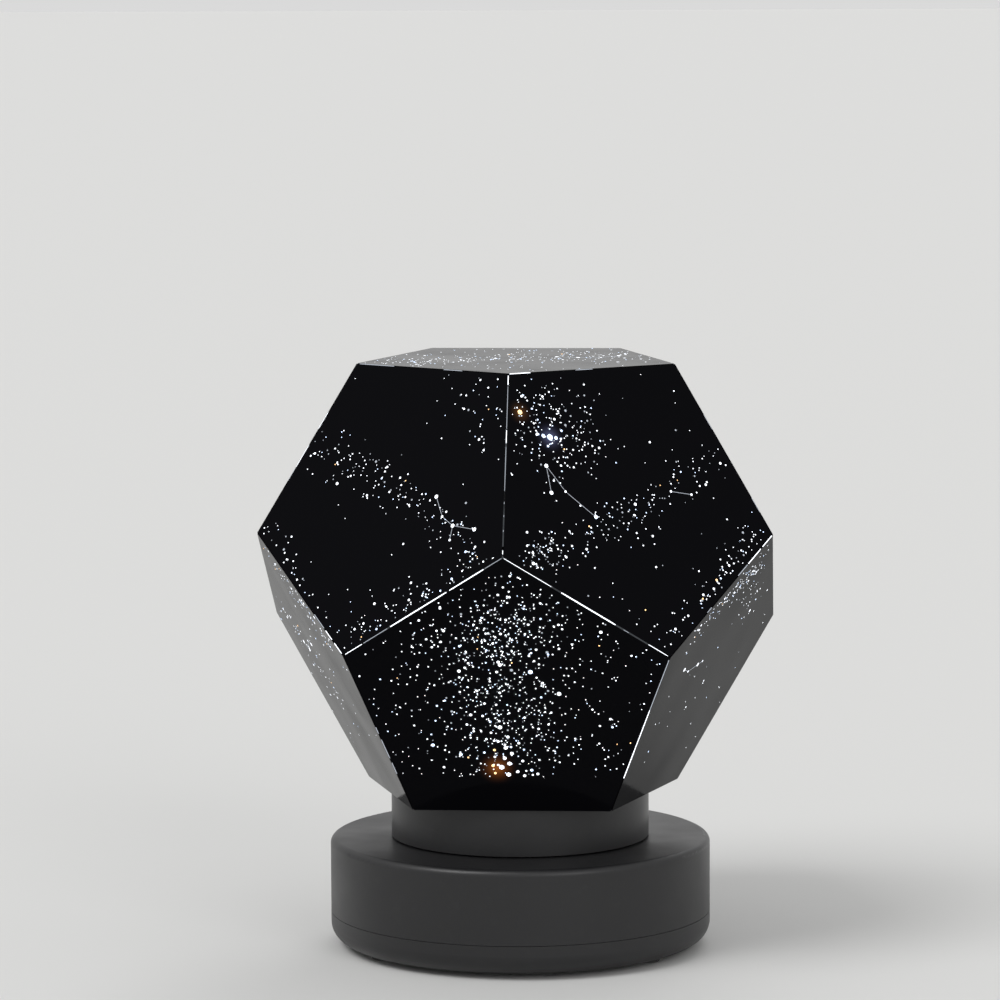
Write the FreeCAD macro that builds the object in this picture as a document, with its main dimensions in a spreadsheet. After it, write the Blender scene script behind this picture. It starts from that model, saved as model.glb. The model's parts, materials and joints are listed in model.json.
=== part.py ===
import FreeCAD, Part
import math
import os
import re

import Sketcher

Vector = FreeCAD.Vector

# Driving dimensions, in millimetres, and in degrees where the name ends in angle
SIZES = {
    # The twelve-sided star globe, folded from printed film
    "edge_length": 60.0,
    "film_thickness": 0.4,
    "seam_gap": 0.5,
    "glue_gap": 0.05,
    "strip_width": 5.0,
    "strip_thickness": 0.25,
    "strip_end_gap": 0.3,
    # The moulded plate that closes the globe's bottom
    "plate_thickness": 2.0,
    "plate_lip_wall": 1.3,
    "plate_lip_height": 6.0,
    "lift_gap": 0.3,
    # The turntable: the neck under the globe, and the collar inside it
    "neck_inset": 1.3,
    "neck_height": 14.6,
    "neck_wall": 2.0,
    "neck_floor_gap": 0.5,
    "seat_step": 2.0,
    "seat_thickness": 2.0,
    "seat_gap": 0.2,
    "collar_height": 10.4,
    "collar_wall": 2.0,
    "hub_wall": 2.0,
    "hub_cover": 2.3,
    "hub_top_gap": 0.4,
    "hub_bottom_gap": 0.1,
    "turn_clearance": 0.2,
    "rib_thickness": 1.5,
    "rib_height": 7.5,
    "lug_depth": 1.3,
    "lug_width": 5.0,
    "lug_height": 3.0,
    "washer_width": 3.4,
    "washer_thickness": 0.6,
    # The base's two shells
    "base_radius": 59.0,
    "base_height": 32.5,
    "base_bottom_round": 6.0,
    "base_top_round": 2.0,
    "shell_wall": 2.0,
    "floor_thickness": 2.0,
    "tray_height": 9.5,
    "shell_joint_gap": 0.15,
    "lip_wall": 1.5,
    "lip_height": 2.0,
    "lip_root": 3.0,
    "lip_gap": 0.2,
    "spigot_wall": 2.5,
    "spigot_height": 19.0,
    # Rubber feet
    "foot_drop": 1.5,
    "foot_radius": 4.0,
    "foot_recess": 1.0,
    "foot_gap": 0.2,
    "foot_inset": 0.5,
    "front_foot_angle": 56.0,
    "back_foot_angle": 150.0,
    # Screws and bosses that close the base
    "shell_screw_radius": 1.3,
    "shell_screw_length": 13.0,
    "screw_head_radius": 2.5,
    "screw_head_height": 1.6,
    "screw_head_depth": 4.5,
    "hole_clearance": 0.2,
    "pilot_clearance": 0.02,
    "boss_radius": 3.8,
    "boss_height": 12.5,
    "boss_inset": 4.2,
    "front_boss_angle": 85.0,
    "back_boss_angle": 129.0,
    # Battery bay and its three AA cells
    "cell_radius": 7.15,
    "cell_length": 50.5,
    "cell_nub_radius": 2.75,
    "cell_nub_length": 1.0,
    "cell_gap": 0.9,
    "cell_door_gap": 0.5,
    "cell_roof_gap": 0.5,
    "bay_forward": 16.0,
    "bay_spring_room": 6.6,
    "bay_wall": 1.6,
    "bay_roof": 1.6,
    "spring_wire": 0.7,
    "spring_tip_radius": 2.6,
    "spring_foot_radius": 5.0,
    "contact_thickness": 0.4,
    "contact_width": 11.0,
    "contact_height": 10.0,
    "contact_gap": 0.1,
    "contact_tail_width": 3.0,
    "contact_tail_height": 3.0,
    # Battery door
    "door_ledge": 0.8,
    "door_thickness": 1.8,
    "door_gap": 0.3,
    "door_recess": 0.1,
    "tongue_width": 8.0,
    "tongue_across": 18.0,
    "tongue_reach": 3.4,
    "tongue_thickness": 1.0,
    "tongue_gap": 0.15,
    "latch_width": 12.0,
    "latch_height": 3.0,
    "latch_wall": 1.0,
    "latch_nib": 0.5,
    "scoop_width": 14.0,
    "scoop_length": 4.0,
    "scoop_depth": 0.9,
    # Control board, behind a flat recess in the back wall
    "board_thickness": 1.6,
    "board_height": 12.7,
    "board_width": 38.0,
    "board_length": 36.0,
    "board_gap": 0.3,
    "board_hole_inset": 3.5,
    "board_screw_radius": 1.0,
    "board_screw_length": 6.0,
    "board_screw_head": 1.9,
    "standoff_radius": 2.4,
    "panel_width": 26.0,
    "panel_height": 10.0,
    "panel_recess": 3.5,
    "panel_wall": 2.2,
    "panel_border": 1.5,
    # The power socket and the slide switch
    "socket_across": 7.5,
    "socket_width": 7.6,
    "socket_height": 2.7,
    "socket_length": 5.8,
    "socket_wall": 0.3,
    "socket_set_back": 0.3,
    "port_gap": 0.3,
    "switch_across": 5.5,
    "switch_width": 13.0,
    "switch_depth": 7.0,
    "switch_height": 5.0,
    "switch_travel": 6.0,
    "knob_width": 5.0,
    "knob_height": 4.6,
    "knob_depth": 2.8,
    "knob_gap": 0.3,
    "knob_groove": 0.4,
    "stem_width": 2.6,
    "stem_height": 1.8,
    "stem_rise": 2.3,
    "stem_gap": 0.35,
    # Small parts on the control board
    "header_inset": 1.5,
    "header_pitch": 3.0,
    "header_end": 1.0,
    "header_depth": 4.0,
    "header_height": 3.0,
    "parts_inset": 8.0,
    "resistor_length": 3.2,
    "resistor_width": 1.7,
    "resistor_height": 0.7,
    "resistor_pitch": 3.2,
    "capacitor_inset": 7.0,
    "capacitor_radius": 2.5,
    "capacitor_height": 7.0,
    "chip_across": 6.5,
    "chip_width": 5.0,
    "chip_height": 1.4,
    # Lamp: a plate on the spigot with three round LEDs
    "lamp_plate_gap": 1.5,
    "lamp_plate_thickness": 2.0,
    "lamp_boss_radius": 11.0,
    "lamp_boss_height": 2.0,
    "lamp_screw_inset": 5.0,
    "lamp_screw_radius": 1.0,
    "lamp_screw_length": 6.5,
    "lamp_screw_head": 2.0,
    "lamp_screw_boss": 9.0,
    "small_head_height": 1.2,
    "led_circle": 5.6,
    "led_radius": 2.5,
    "led_flange_radius": 2.9,
    "led_flange_height": 1.0,
    "led_height": 8.6,
    "led_gap": 0.1,
    "led_lead_radius": 0.3,
    "led_lead_pitch": 2.54,
    "led_board_radius": 12.0,
    "led_board_thickness": 1.2,
    "led_board_drop": 1.2,
    "stake_circle": 9.6,
    "stake_radius": 0.8,
    "stake_head_radius": 1.4,
    "stake_head_height": 0.6,
    # Hook-up wire
    "wire_radius": 0.6,
    "wire_bend": 3.6,
    "wire_rise": 4.4,
}

doc = FreeCAD.newDocument("StarProjector")
sheet = doc.addObject("Spreadsheet::Sheet", "Sizes")
for row, (alias, number) in enumerate(SIZES.items(), start=1):
    sheet.set(f"A{row}", alias.replace("_", " "))
    sheet.set(f"B{row}", str(number))
    sheet.setAlias(f"B{row}", alias)
doc.recompute()

# A regular twelve-sided solid, for an edge of one
GOLDEN_RATIO = (1 + math.sqrt(5)) / 2
SIDES = 5
TURN = 360 / SIDES
FACE_RADIUS = 0.5 / math.sin(math.radians(TURN / 2))
FACE_APOTHEM = 0.5 / math.tan(math.radians(TURN / 2))
FACE_TILT = math.degrees(math.atan(2))
HALF_DIHEDRAL = (180 - FACE_TILT) / 2
FACE_DISTANCE = FACE_APOTHEM * math.tan(math.radians(HALF_DIHEDRAL))
RING_RADIUS = FACE_RADIUS * GOLDEN_RATIO
RING_HEIGHT = FACE_DISTANCE - math.sqrt(1 - (RING_RADIUS - FACE_RADIUS) ** 2)

# Heights above the table
BASE_FLOOR = "foot_drop"
FLOOR_TOP = "(foot_drop + floor_thickness)"
BASE_SPLIT = "(foot_drop + tray_height)"
BASE_TOP = "(foot_drop + base_height)"
TOP_UNDERSIDE = f"({BASE_TOP} - floor_thickness)"
SEAT = f"({BASE_TOP} + neck_height)"
GLOBE_BOTTOM = f"({SEAT} + seat_gap)"
GLOBE_CENTRE = f"({GLOBE_BOTTOM} + edge_length * {FACE_DISTANCE})"
SPIGOT_TOP = f"({BASE_TOP} + spigot_height)"
BOSS_TOP = "(foot_drop + boss_height)"
BOARD_UNDER = "(foot_drop + board_height)"
BOARD_TOP = f"({BOARD_UNDER} + board_thickness)"
STEM_LEVEL = f"({BOARD_TOP} + stem_rise)"
HEADER_TOP = f"({BOARD_TOP} + header_height)"
LAMP_TOP = f"({SPIGOT_TOP} + lamp_plate_thickness)"
LED_FOOT = f"({LAMP_TOP} - led_flange_height + led_gap)"
LED_BOARD_TOP = f"({SPIGOT_TOP} - led_board_drop)"
LED_BOARD_UNDER = f"({LED_BOARD_TOP} - led_board_thickness)"

# Radii about the upright axis, worked inwards from the globe's bottom face
NECK_RADIUS = f"({FACE_APOTHEM} * edge_length - neck_inset)"
COLLAR_RADIUS = f"({NECK_RADIUS} - seat_step)"
LAMP_PLATE_RADIUS = f"({COLLAR_RADIUS} - collar_wall - lamp_plate_gap)"
HUB_OUTSIDE = f"({LAMP_PLATE_RADIUS} - hub_cover)"
HUB_INSIDE = f"({HUB_OUTSIDE} - hub_wall)"
SPIGOT_RADIUS = f"({HUB_INSIDE} - turn_clearance)"
LAMP_SCREW_CIRCLE = f"({SPIGOT_RADIUS} - lamp_screw_inset)"

# Radii worked inwards from the base's outside
WALL_INSIDE = "(base_radius - shell_wall)"
LIP_OUTSIDE = f"({WALL_INSIDE} - lip_gap)"
LIP_INSIDE = f"({LIP_OUTSIDE} - lip_wall)"
BOSS_CIRCLE = f"({LIP_INSIDE} - boss_inset - boss_radius)"
FOOT_CIRCLE = "(base_radius - base_bottom_round - foot_inset - foot_radius)"

# The control board in plan, worked forwards from the back wall
PANEL_FACE = "(base_radius - panel_recess)"
PANEL_BACK = f"({PANEL_FACE} - panel_wall)"
BOARD_BACK = f"({PANEL_BACK} - board_gap)"
BOARD_FRONT = f"({BOARD_BACK} - board_length)"
SWITCH_BACK = f"({PANEL_BACK} - knob_gap)"
HEADER_FRONT = f"({BOARD_FRONT} + header_inset)"
HEADER_LINE = f"({HEADER_FRONT} + header_depth / 2)"
PARTS_FRONT = f"({BOARD_FRONT} + parts_inset)"

# The battery bay, in plan and in height
CELL_PITCH = "(2 * cell_radius + cell_gap)"
BAY_HALF = "((cell_length + bay_spring_room + 2 * contact_thickness + 3 * contact_gap) / 2)"
BAY_BACK = f"(3 * {CELL_PITCH} / 2 - bay_forward)"
BAY_FRONT = f"(-3 * {CELL_PITCH} / 2 - bay_forward)"
DOOR_SEAT_HALF = f"({BAY_HALF} + door_ledge)"
DOOR_SEAT_BACK = f"({BAY_BACK} + door_ledge)"
DOOR_SEAT_FRONT = f"({BAY_FRONT} - door_ledge)"
DOOR_UNDER = "(foot_drop + door_recess)"
DOOR_TOP = f"({DOOR_UNDER} + door_thickness)"
HINGE_BACK = f"({DOOR_SEAT_BACK} - door_gap - door_thickness / 2)"
HINGE_HEIGHT = f"({DOOR_UNDER} + door_thickness / 2)"
CELL_HEIGHT = f"({FLOOR_TOP} + cell_door_gap + cell_radius)"
BAY_CEILING = f"({CELL_HEIGHT} + cell_radius + cell_roof_gap)"
BAY_ROOF_TOP = f"({BAY_CEILING} + bay_roof)"

CELLS = 3
SPRING_TURNS = 4
HEADER_WIRES = 6
RIBS = 8
LUGS = 2
THIRDS = (0, 120, 240)
LED_ANGLES = {"led_white": 180, "led_warm": 300, "led_blue": 60}


def around(radius, angle):
    """A place at a radius from the upright axis, at an angle from the front."""
    return f"{radius} * sin({angle})", f"-{radius} * cos({angle})"


FOOT_PLACES = [
    around(FOOT_CIRCLE, f"{side} * {angle}")
    for angle in ("front_foot_angle", "back_foot_angle")
    for side in (1, -1)
]
BOSS_PLACES = [
    around(BOSS_CIRCLE, f"{side} * {angle}")
    for angle in ("front_boss_angle", "back_boss_angle")
    for side in (1, -1)
]
BOARD_HOLES = [
    (f"{side} * (board_width / 2 - board_hole_inset)", line)
    for side in (1, -1)
    for line in (f"{BOARD_FRONT} + board_hole_inset", f"{BOARD_BACK} - board_hole_inset")
]
LAMP_SCREW_PLACES = [around(LAMP_SCREW_CIRCLE, 180 + angle) for angle in THIRDS]
STAKE_PLACES = [around("stake_circle", 180 + angle) for angle in THIRDS]
LED_PLACES = [around("led_circle", 180 - angle) for angle in LED_ANGLES.values()]

pieces = []


def named(formula):
    """The formula with each size looked up in the sheet."""
    return re.sub(r"\b[a-z]+(?:_[a-z]+)+\b", r"Sizes.\g<0>", str(formula))


def value(formula):
    return float(sheet.evalExpression(named(formula)))


def tie(thing, prop, formula):
    thing.setExpression(prop, named(formula))


def body(label):
    made = doc.addObject("PartDesign::Body", label)
    made.Label = label
    pieces.append(made)
    return made


def add_shape(label, shape):
    made = doc.addObject("Part::Feature", label)
    made.Label = label
    made.Shape = shape
    pieces.append(made)


def origin_part(owner, role):
    return next(f for f in owner.Origin.OriginFeatures if f.Role == role)


def bind_point(drawing, edge, end, across, up):
    """Pins a point of an edge at a formula's distance from the sketch's origin."""
    for kind, axis, formula in (("DistanceX", -2, across), ("DistanceY", -1, up)):
        distance = value(formula)
        if abs(distance) < 1e-9:
            drawing.addConstraint(Sketcher.Constraint("PointOnObject", edge, end, axis))
            continue
        index = drawing.addConstraint(Sketcher.Constraint(kind, -1, 1, edge, end, distance))
        tie(drawing, f"Constraints[{index}]", formula)


def draw(owner, plane="XY_Plane", height=None, outlines=(), circles=(), offset=None):
    """A sketch of closed straight outlines and circles, on one of the body's own planes."""
    drawing = owner.newObject("Sketcher::SketchObject", owner.Label + "_outline")
    drawing.AttachmentSupport = [(origin_part(owner, plane), "")]
    drawing.MapMode = "FlatFace"
    if offset is not None:
        drawing.AttachmentOffset = offset
    if height is not None:
        tie(drawing, "AttachmentOffset.Base.z", height)
    for outline in outlines:
        first = drawing.GeometryCount
        corners = [Vector(value(across), value(up), 0) for across, up in outline]
        for corner, following in zip(corners, corners[1:] + corners[:1]):
            drawing.addGeometry(Part.LineSegment(corner, following), False)
        for step in range(len(corners)):
            onward = first + (step + 1) % len(corners)
            drawing.addConstraint(Sketcher.Constraint("Coincident", first + step, 2, onward, 1))
        for step, (across, up) in enumerate(outline):
            bind_point(drawing, first + step, 1, across, up)
    for across, up, radius in circles:
        centre = Vector(value(across), value(up), 0)
        ring = drawing.addGeometry(Part.Circle(centre, Vector(0, 0, 1), value(radius)), False)
        bind_point(drawing, ring, 3, across, up)
        index = drawing.addConstraint(Sketcher.Constraint("Radius", ring, value(radius)))
        tie(drawing, f"Constraints[{index}]", radius)
    doc.recompute()
    return drawing


def pad(owner, drawing, length, taper=0, both_ways=False, down=False):
    made = owner.newObject("PartDesign::Pad", owner.Label + "_pad")
    made.Profile = drawing
    made.Midplane = both_ways
    made.Reversed = down
    made.TaperAngle = taper
    tie(made, "Length", length)
    doc.recompute()
    return made


def pocket(owner, drawing, length, taper=0):
    """Cuts the sketch's outline along its normal, and makes sure that it met the solid."""
    before = owner.Shape.Volume
    made = owner.newObject("PartDesign::Pocket", owner.Label + "_pocket")
    made.Profile = drawing
    made.Reversed = True
    made.TaperAngle = taper
    tie(made, "Length", length)
    doc.recompute()
    if owner.Shape.Volume > before - 1e-6:
        raise ValueError(f"a pocket of {owner.Label} cuts nothing")
    return made


def revolve(owner, outline):
    """A solid of revolution about the upright axis, from (radius, height) corners."""
    drawing = draw(owner, plane="XZ_Plane", outlines=[outline])
    made = owner.newObject("PartDesign::Revolution", owner.Label + "_turned")
    made.Profile = drawing
    made.ReferenceAxis = (drawing, ["V_Axis"])
    made.Angle = 360
    doc.recompute()
    return made


def middle_and_width(middle, width):
    return f"({middle}) - ({width}) / 2", f"({middle}) + ({width}) / 2"


def box_outline(across, along):
    (left, right), (near, far) = across, along
    return [(left, near), (right, near), (right, far), (left, far)]


def add_block(owner, across, along, levels):
    low, high = levels
    drawing = draw(owner, height=low, outlines=[box_outline(across, along)])
    return pad(owner, drawing, f"({high}) - ({low})")


def cut_block(owner, across, along, levels):
    low, high = levels
    drawing = draw(owner, height=low, outlines=[box_outline(across, along)])
    return pocket(owner, drawing, f"({high}) - ({low})")


def add_posts(owner, places, radius, levels):
    low, high = levels
    drawing = draw(owner, height=low, circles=[(x, y, radius) for x, y in places])
    return pad(owner, drawing, f"({high}) - ({low})")


def cut_holes(owner, places, radius, levels):
    low, high = levels
    drawing = draw(owner, height=low, circles=[(x, y, radius) for x, y in places])
    return pocket(owner, drawing, f"({high}) - ({low})")


def repeat(owner, features, count):
    """Repeats features evenly about the upright axis."""
    made = owner.newObject("PartDesign::PolarPattern", owner.Label + "_pattern")
    made.Originals = features
    made.Axis = (origin_part(owner, "Z_Axis"), [""])
    made.Angle = 360
    made.Occurrences = count
    owner.Tip = made
    doc.recompute()
    return made


def round_edges(owner, radius, level, rim=None, reach=0.05):
    """Rounds the circular edges at a height, and of a radius where one is given."""
    found = []
    for index, edge in enumerate(owner.Shape.Edges, start=1):
        box = edge.BoundBox
        flat = abs(box.ZMin - value(level)) < reach and abs(box.ZMax - value(level)) < reach
        if not flat or edge.Curve.TypeId != "Part::GeomCircle":
            continue
        if rim is None or abs(edge.Curve.Radius - value(rim)) < reach:
            found.append(f"Edge{index}")
    if not found:
        raise ValueError(f"{owner.Label} has no edge to round at {level}")
    solid = owner.Tip
    made = owner.newObject("PartDesign::Fillet", owner.Label + "_round")
    made.Base = (solid, found)
    tie(made, "Radius", radius)
    doc.recompute()
    return made


# The star globe


def face_normal(level, index):
    """The outward direction of the top, of an upper face or of a lower one."""
    if level == "top":
        return Vector(0, 0, 1)
    azimuth = math.radians(index * TURN + (TURN / 2 if level == "upper" else 0))
    rise = math.cos(math.radians(FACE_TILT)) * (1 if level == "upper" else -1)
    flat = math.sin(math.radians(FACE_TILT))
    return Vector(flat * math.sin(azimuth), -flat * math.cos(azimuth), rise)


def make_star_panel(label, level, index=0):
    """One five-sided sheet of printed film, with mitred edges and half a seam gap all round."""
    panel = body(label)
    radius = f"(({FACE_APOTHEM} * edge_length - seam_gap / 2) / cos({TURN / 2}))"
    outline = [around(radius, step * TURN) for step in range(SIDES)]
    mitre = 90 - HALF_DIHEDRAL
    pad(panel, draw(panel, outlines=[outline]), "film_thickness", taper=-mitre, down=True)
    normal = face_normal(level, index)
    steepest = Vector(0, 1, 0)
    if level != "top":
        steepest = (Vector(0, 0, 1) - normal * normal.z).normalize()
    if level == "lower":
        steepest = -steepest
    panel.Placement.Rotation = FreeCAD.Rotation(steepest.cross(normal), steepest, normal, "ZYX")
    distance = f"edge_length * {FACE_DISTANCE}"
    tie(panel, "Placement.Base.x", f"{distance} * ({normal.x})")
    tie(panel, "Placement.Base.y", f"{distance} * ({normal.y})")
    tie(panel, "Placement.Base.z", f"{GLOBE_CENTRE} + {distance} * ({normal.z})")


def seam_outline():
    """The folded strip's section: X points into the globe along the seam's middle plane."""
    half = HALF_DIHEDRAL
    outer = "(film_thickness + glue_gap)"
    inner = "(film_thickness + glue_gap + strip_thickness)"

    def leg_end(depth, side):
        into = f"strip_width * cos({half}) + {depth} * sin({half})"
        across = f"{side} * (strip_width * sin({half}) - {depth} * cos({half}))"
        return into, across

    return [
        (f"{outer} / sin({half})", 0),
        leg_end(outer, 1),
        leg_end(inner, 1),
        (f"{inner} / sin({half})", 0),
        leg_end(inner, -1),
        leg_end(outer, -1),
    ]


def ring_point(ring, step=0):
    """A corner of the twelve-sided solid, for an edge of one, about its centre."""
    radius, height, start = {
        "top": (FACE_RADIUS, FACE_DISTANCE, 0),
        "upper": (RING_RADIUS, RING_HEIGHT, 0),
        "lower": (RING_RADIUS, -RING_HEIGHT, TURN / 2),
        "bottom": (FACE_RADIUS, -FACE_DISTANCE, TURN / 2),
    }[ring]
    azimuth = math.radians(start + step * TURN)
    return Vector(radius * math.sin(azimuth), -radius * math.cos(azimuth), height)


CORNER_TRIM = f"(strip_width * tan({TURN / 2}) + strip_end_gap)"


def make_seam_strips(label, seams, end_trim=CORNER_TRIM):
    """Folded strips of clear film, glued inside the seams, repeated five times round the globe."""
    strips = body(label)
    tie(strips, "Placement.Base.z", GLOBE_CENTRE)
    made = []
    for begin, end in seams:
        middle = (begin + end) / 2
        along = (end - begin).normalize()
        into = (-middle).normalize()
        turned = FreeCAD.Rotation(into, along.cross(into), along, "ZXY")
        drawing = draw(strips, outlines=[seam_outline()], offset=FreeCAD.Placement(Vector(), turned))
        shift = f"({CORNER_TRIM} - {end_trim}) / 2"
        for axis in "xyz":
            formula = f"edge_length * ({getattr(middle, axis)}) + {shift} * ({getattr(along, axis)})"
            tie(drawing, f"AttachmentOffset.Base.{axis}", formula)
        made.append(pad(strips, drawing, f"edge_length - {CORNER_TRIM} - {end_trim}", both_ways=True))
    repeat(strips, made, SIDES)


def make_globe_base_plate():
    """The globe's bottom: a five-sided moulding with sloping lips, which the lower panels are glued to."""
    plate = body("globe_base_plate")
    slope = 90 - FACE_TILT
    low = f"({FACE_APOTHEM} * edge_length - (film_thickness + glue_gap) / cos({slope}))"

    def five_sides(apothem):
        return [around(f"{apothem} / cos({TURN / 2})", (step + 0.5) * TURN) for step in range(SIDES)]

    outside = draw(plate, height=GLOBE_BOTTOM, outlines=[five_sides(low)])
    pad(plate, outside, "plate_lip_height", taper=slope)
    floor_line = f"({low} + plate_thickness * tan({slope}) - plate_lip_wall / cos({slope}))"
    inside = draw(plate, height=f"{GLOBE_BOTTOM} + plate_thickness", outlines=[five_sides(floor_line)])
    pocket(plate, inside, "plate_lip_height", taper=slope)
    through = (f"{GLOBE_BOTTOM} - 1", f"{GLOBE_BOTTOM} + plate_thickness + 1")
    cut_holes(plate, [(0, 0)], f"{COLLAR_RADIUS} + lift_gap", through)
    notches = middle_and_width(0, f"2 * ({COLLAR_RADIUS} + lug_depth + lift_gap)")
    cut_block(plate, notches, middle_and_width(0, "lug_width + 2 * lift_gap"), through)


def make_globe():
    make_star_panel("star_panel_top", "top")
    for index in range(SIDES):
        make_star_panel(f"star_panel_upper_{index + 1}", "upper", index)
        make_star_panel(f"star_panel_lower_{index + 1}", "lower", index)
    make_seam_strips("top_seam_strips", [(ring_point("top"), ring_point("top", 1))])
    make_seam_strips("upper_seam_strips", [(ring_point("top"), ring_point("upper"))])
    zigzag = [
        (ring_point("upper"), ring_point("lower")),
        (ring_point("lower"), ring_point("upper", 1)),
    ]
    make_seam_strips("equator_seam_strips", zigzag)
    steepness = ring_point("lower").z - ring_point("bottom").z
    above_plate = f"(plate_lip_height / {steepness} + strip_end_gap)"
    lower_seam = (ring_point("lower"), ring_point("bottom"))
    make_seam_strips("lower_seam_strips", [lower_seam], end_trim=above_plate)
    make_globe_base_plate()


# The turntable


def make_turntable():
    """A hub on the base's spigot, a web, the neck outside it and the collar that the globe drops over."""
    table = body("turntable")
    collar_top = f"({SEAT} + collar_height)"
    hub_foot = f"({BASE_TOP} + washer_thickness + hub_bottom_gap)"
    hub_top = f"({SPIGOT_TOP} - hub_top_gap)"
    web = f"({SEAT} - seat_thickness)"
    neck_foot = f"({BASE_TOP} + neck_floor_gap)"
    outline = [
        (HUB_INSIDE, hub_foot),
        (HUB_OUTSIDE, hub_foot),
        (HUB_OUTSIDE, web),
        (f"{NECK_RADIUS} - neck_wall", web),
        (f"{NECK_RADIUS} - neck_wall", neck_foot),
        (NECK_RADIUS, neck_foot),
        (NECK_RADIUS, SEAT),
        (COLLAR_RADIUS, SEAT),
        (COLLAR_RADIUS, collar_top),
        (f"{COLLAR_RADIUS} - collar_wall", collar_top),
        (f"{COLLAR_RADIUS} - collar_wall", SEAT),
        (HUB_OUTSIDE, SEAT),
        (HUB_OUTSIDE, hub_top),
        (HUB_INSIDE, hub_top),
    ]
    revolve(table, outline)
    round_edges(table, "collar_wall / 4", collar_top)
    rib_across = (f"{HUB_OUTSIDE} - hub_wall / 2", f"{NECK_RADIUS} - neck_wall / 2")
    rib_levels = (f"{web} - rib_height", f"{web} + seat_thickness / 2")
    rib = add_block(table, rib_across, middle_and_width(0, "rib_thickness"), rib_levels)
    repeat(table, [rib], RIBS)
    lug_across = (f"{COLLAR_RADIUS} - collar_wall / 2", f"{COLLAR_RADIUS} + lug_depth")
    lug_levels = (f"{SEAT} - seat_thickness / 2", f"{SEAT} + lug_height")
    lug = add_block(table, lug_across, middle_and_width(0, "lug_width"), lug_levels)
    repeat(table, [lug], LUGS)


def make_thrust_washer():
    washer = body("thrust_washer")
    top = f"{BASE_TOP} + washer_thickness"
    outside = f"{HUB_INSIDE} + washer_width"
    revolve(washer, [(HUB_INSIDE, BASE_TOP), (outside, BASE_TOP), (outside, top), (HUB_INSIDE, top)])


# The base


def make_base_lower_shell():
    """The tray: its floor, the battery bay's box, screw bosses and the lip that centres the top."""
    shell = body("base_lower_shell")
    split = f"({BASE_SPLIT} - shell_joint_gap)"
    lip_top = f"({BASE_SPLIT} + lip_height)"
    lip_foot = f"({BASE_SPLIT} - lip_root)"
    outline = [
        (0, BASE_FLOOR),
        ("base_radius", BASE_FLOOR),
        ("base_radius", split),
        (LIP_OUTSIDE, split),
        (LIP_OUTSIDE, lip_top),
        (LIP_INSIDE, lip_top),
        (LIP_INSIDE, lip_foot),
        (WALL_INSIDE, lip_foot),
        (WALL_INSIDE, FLOOR_TOP),
        (0, FLOOR_TOP),
    ]
    revolve(shell, outline)
    round_edges(shell, "base_bottom_round", BASE_FLOOR, rim="base_radius")
    wall_room = "0.9 * (tray_height - lip_root - floor_thickness)"
    inner_round = f"min(base_bottom_round - shell_wall; {wall_room})"
    round_edges(shell, inner_round, FLOOR_TOP, rim=WALL_INSIDE)
    gap_width = "panel_width + 2 * (panel_border + port_gap)"
    gap_along = (f"{PANEL_BACK} - port_gap", f"{LIP_OUTSIDE} + 1")
    cut_block(shell, middle_and_width(0, gap_width), gap_along, (split, f"{lip_top} + 1"))
    add_battery_bay(shell)
    into_floor = f"{FLOOR_TOP} - floor_thickness / 2"
    add_posts(shell, BOSS_PLACES, "boss_radius", (into_floor, BOSS_TOP))
    add_posts(shell, BOARD_HOLES, "standoff_radius", (into_floor, BOARD_UNDER))
    below = f"{BASE_FLOOR} - 1"
    cut_holes(shell, FOOT_PLACES, "foot_radius + foot_gap", (below, f"{BASE_FLOOR} + foot_recess"))
    head_seat = f"({BASE_FLOOR} + screw_head_depth)"
    cut_holes(shell, BOSS_PLACES, "screw_head_radius + hole_clearance", (below, head_seat))
    cut_holes(shell, BOSS_PLACES, "shell_screw_radius + hole_clearance", (head_seat, f"{BOSS_TOP} + 1"))
    pilot_levels = (f"{BOARD_TOP} - board_screw_length - 1", f"{BOARD_UNDER} + 1")
    cut_holes(shell, BOARD_HOLES, "board_screw_radius + pilot_clearance", pilot_levels)


def add_battery_bay(shell):
    """A roofed box over an opening in the floor, with a stepped seat for the door."""
    across = (f"-{BAY_HALF} - bay_wall", f"{BAY_HALF} + bay_wall")
    along = (f"{BAY_FRONT} - bay_wall", f"{BAY_BACK} + bay_wall")
    add_block(shell, across, along, (BASE_FLOOR, BAY_ROOF_TOP))
    below = f"{BASE_FLOOR} - 1"
    cut_block(shell, (f"-{BAY_HALF}", BAY_HALF), (BAY_FRONT, BAY_BACK), (below, BAY_CEILING))
    seat = (f"-{DOOR_SEAT_HALF}", DOOR_SEAT_HALF)
    cut_block(shell, seat, (DOOR_SEAT_FRONT, DOOR_SEAT_BACK), (below, FLOOR_TOP))
    swing_top = f"{FLOOR_TOP} + tongue_reach + 2 * tongue_thickness"
    for side in (-1, 1):
        slot = middle_and_width(f"{side} * tongue_across", "tongue_width + 2 * door_gap")
        cut_block(shell, slot, (f"{BAY_BACK} - 1", f"{BAY_BACK} + bay_wall + 1"), (FLOOR_TOP, swing_top))
    for side, line in contact_tails():
        edges = contact_edges(side, "contact_gap")
        slot = middle_and_width(line, "contact_tail_width + 2 * hole_clearance")
        cut_block(shell, edges, slot, (f"{BAY_CEILING} - 1", f"{BAY_ROOF_TOP} + 1"))
    scoop_along = (f"{DOOR_SEAT_FRONT} - scoop_length", f"{DOOR_SEAT_FRONT} + door_gap")
    cut_block(shell, middle_and_width(0, "scoop_width"), scoop_along, (below, f"{BASE_FLOOR} + scoop_depth"))


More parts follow.
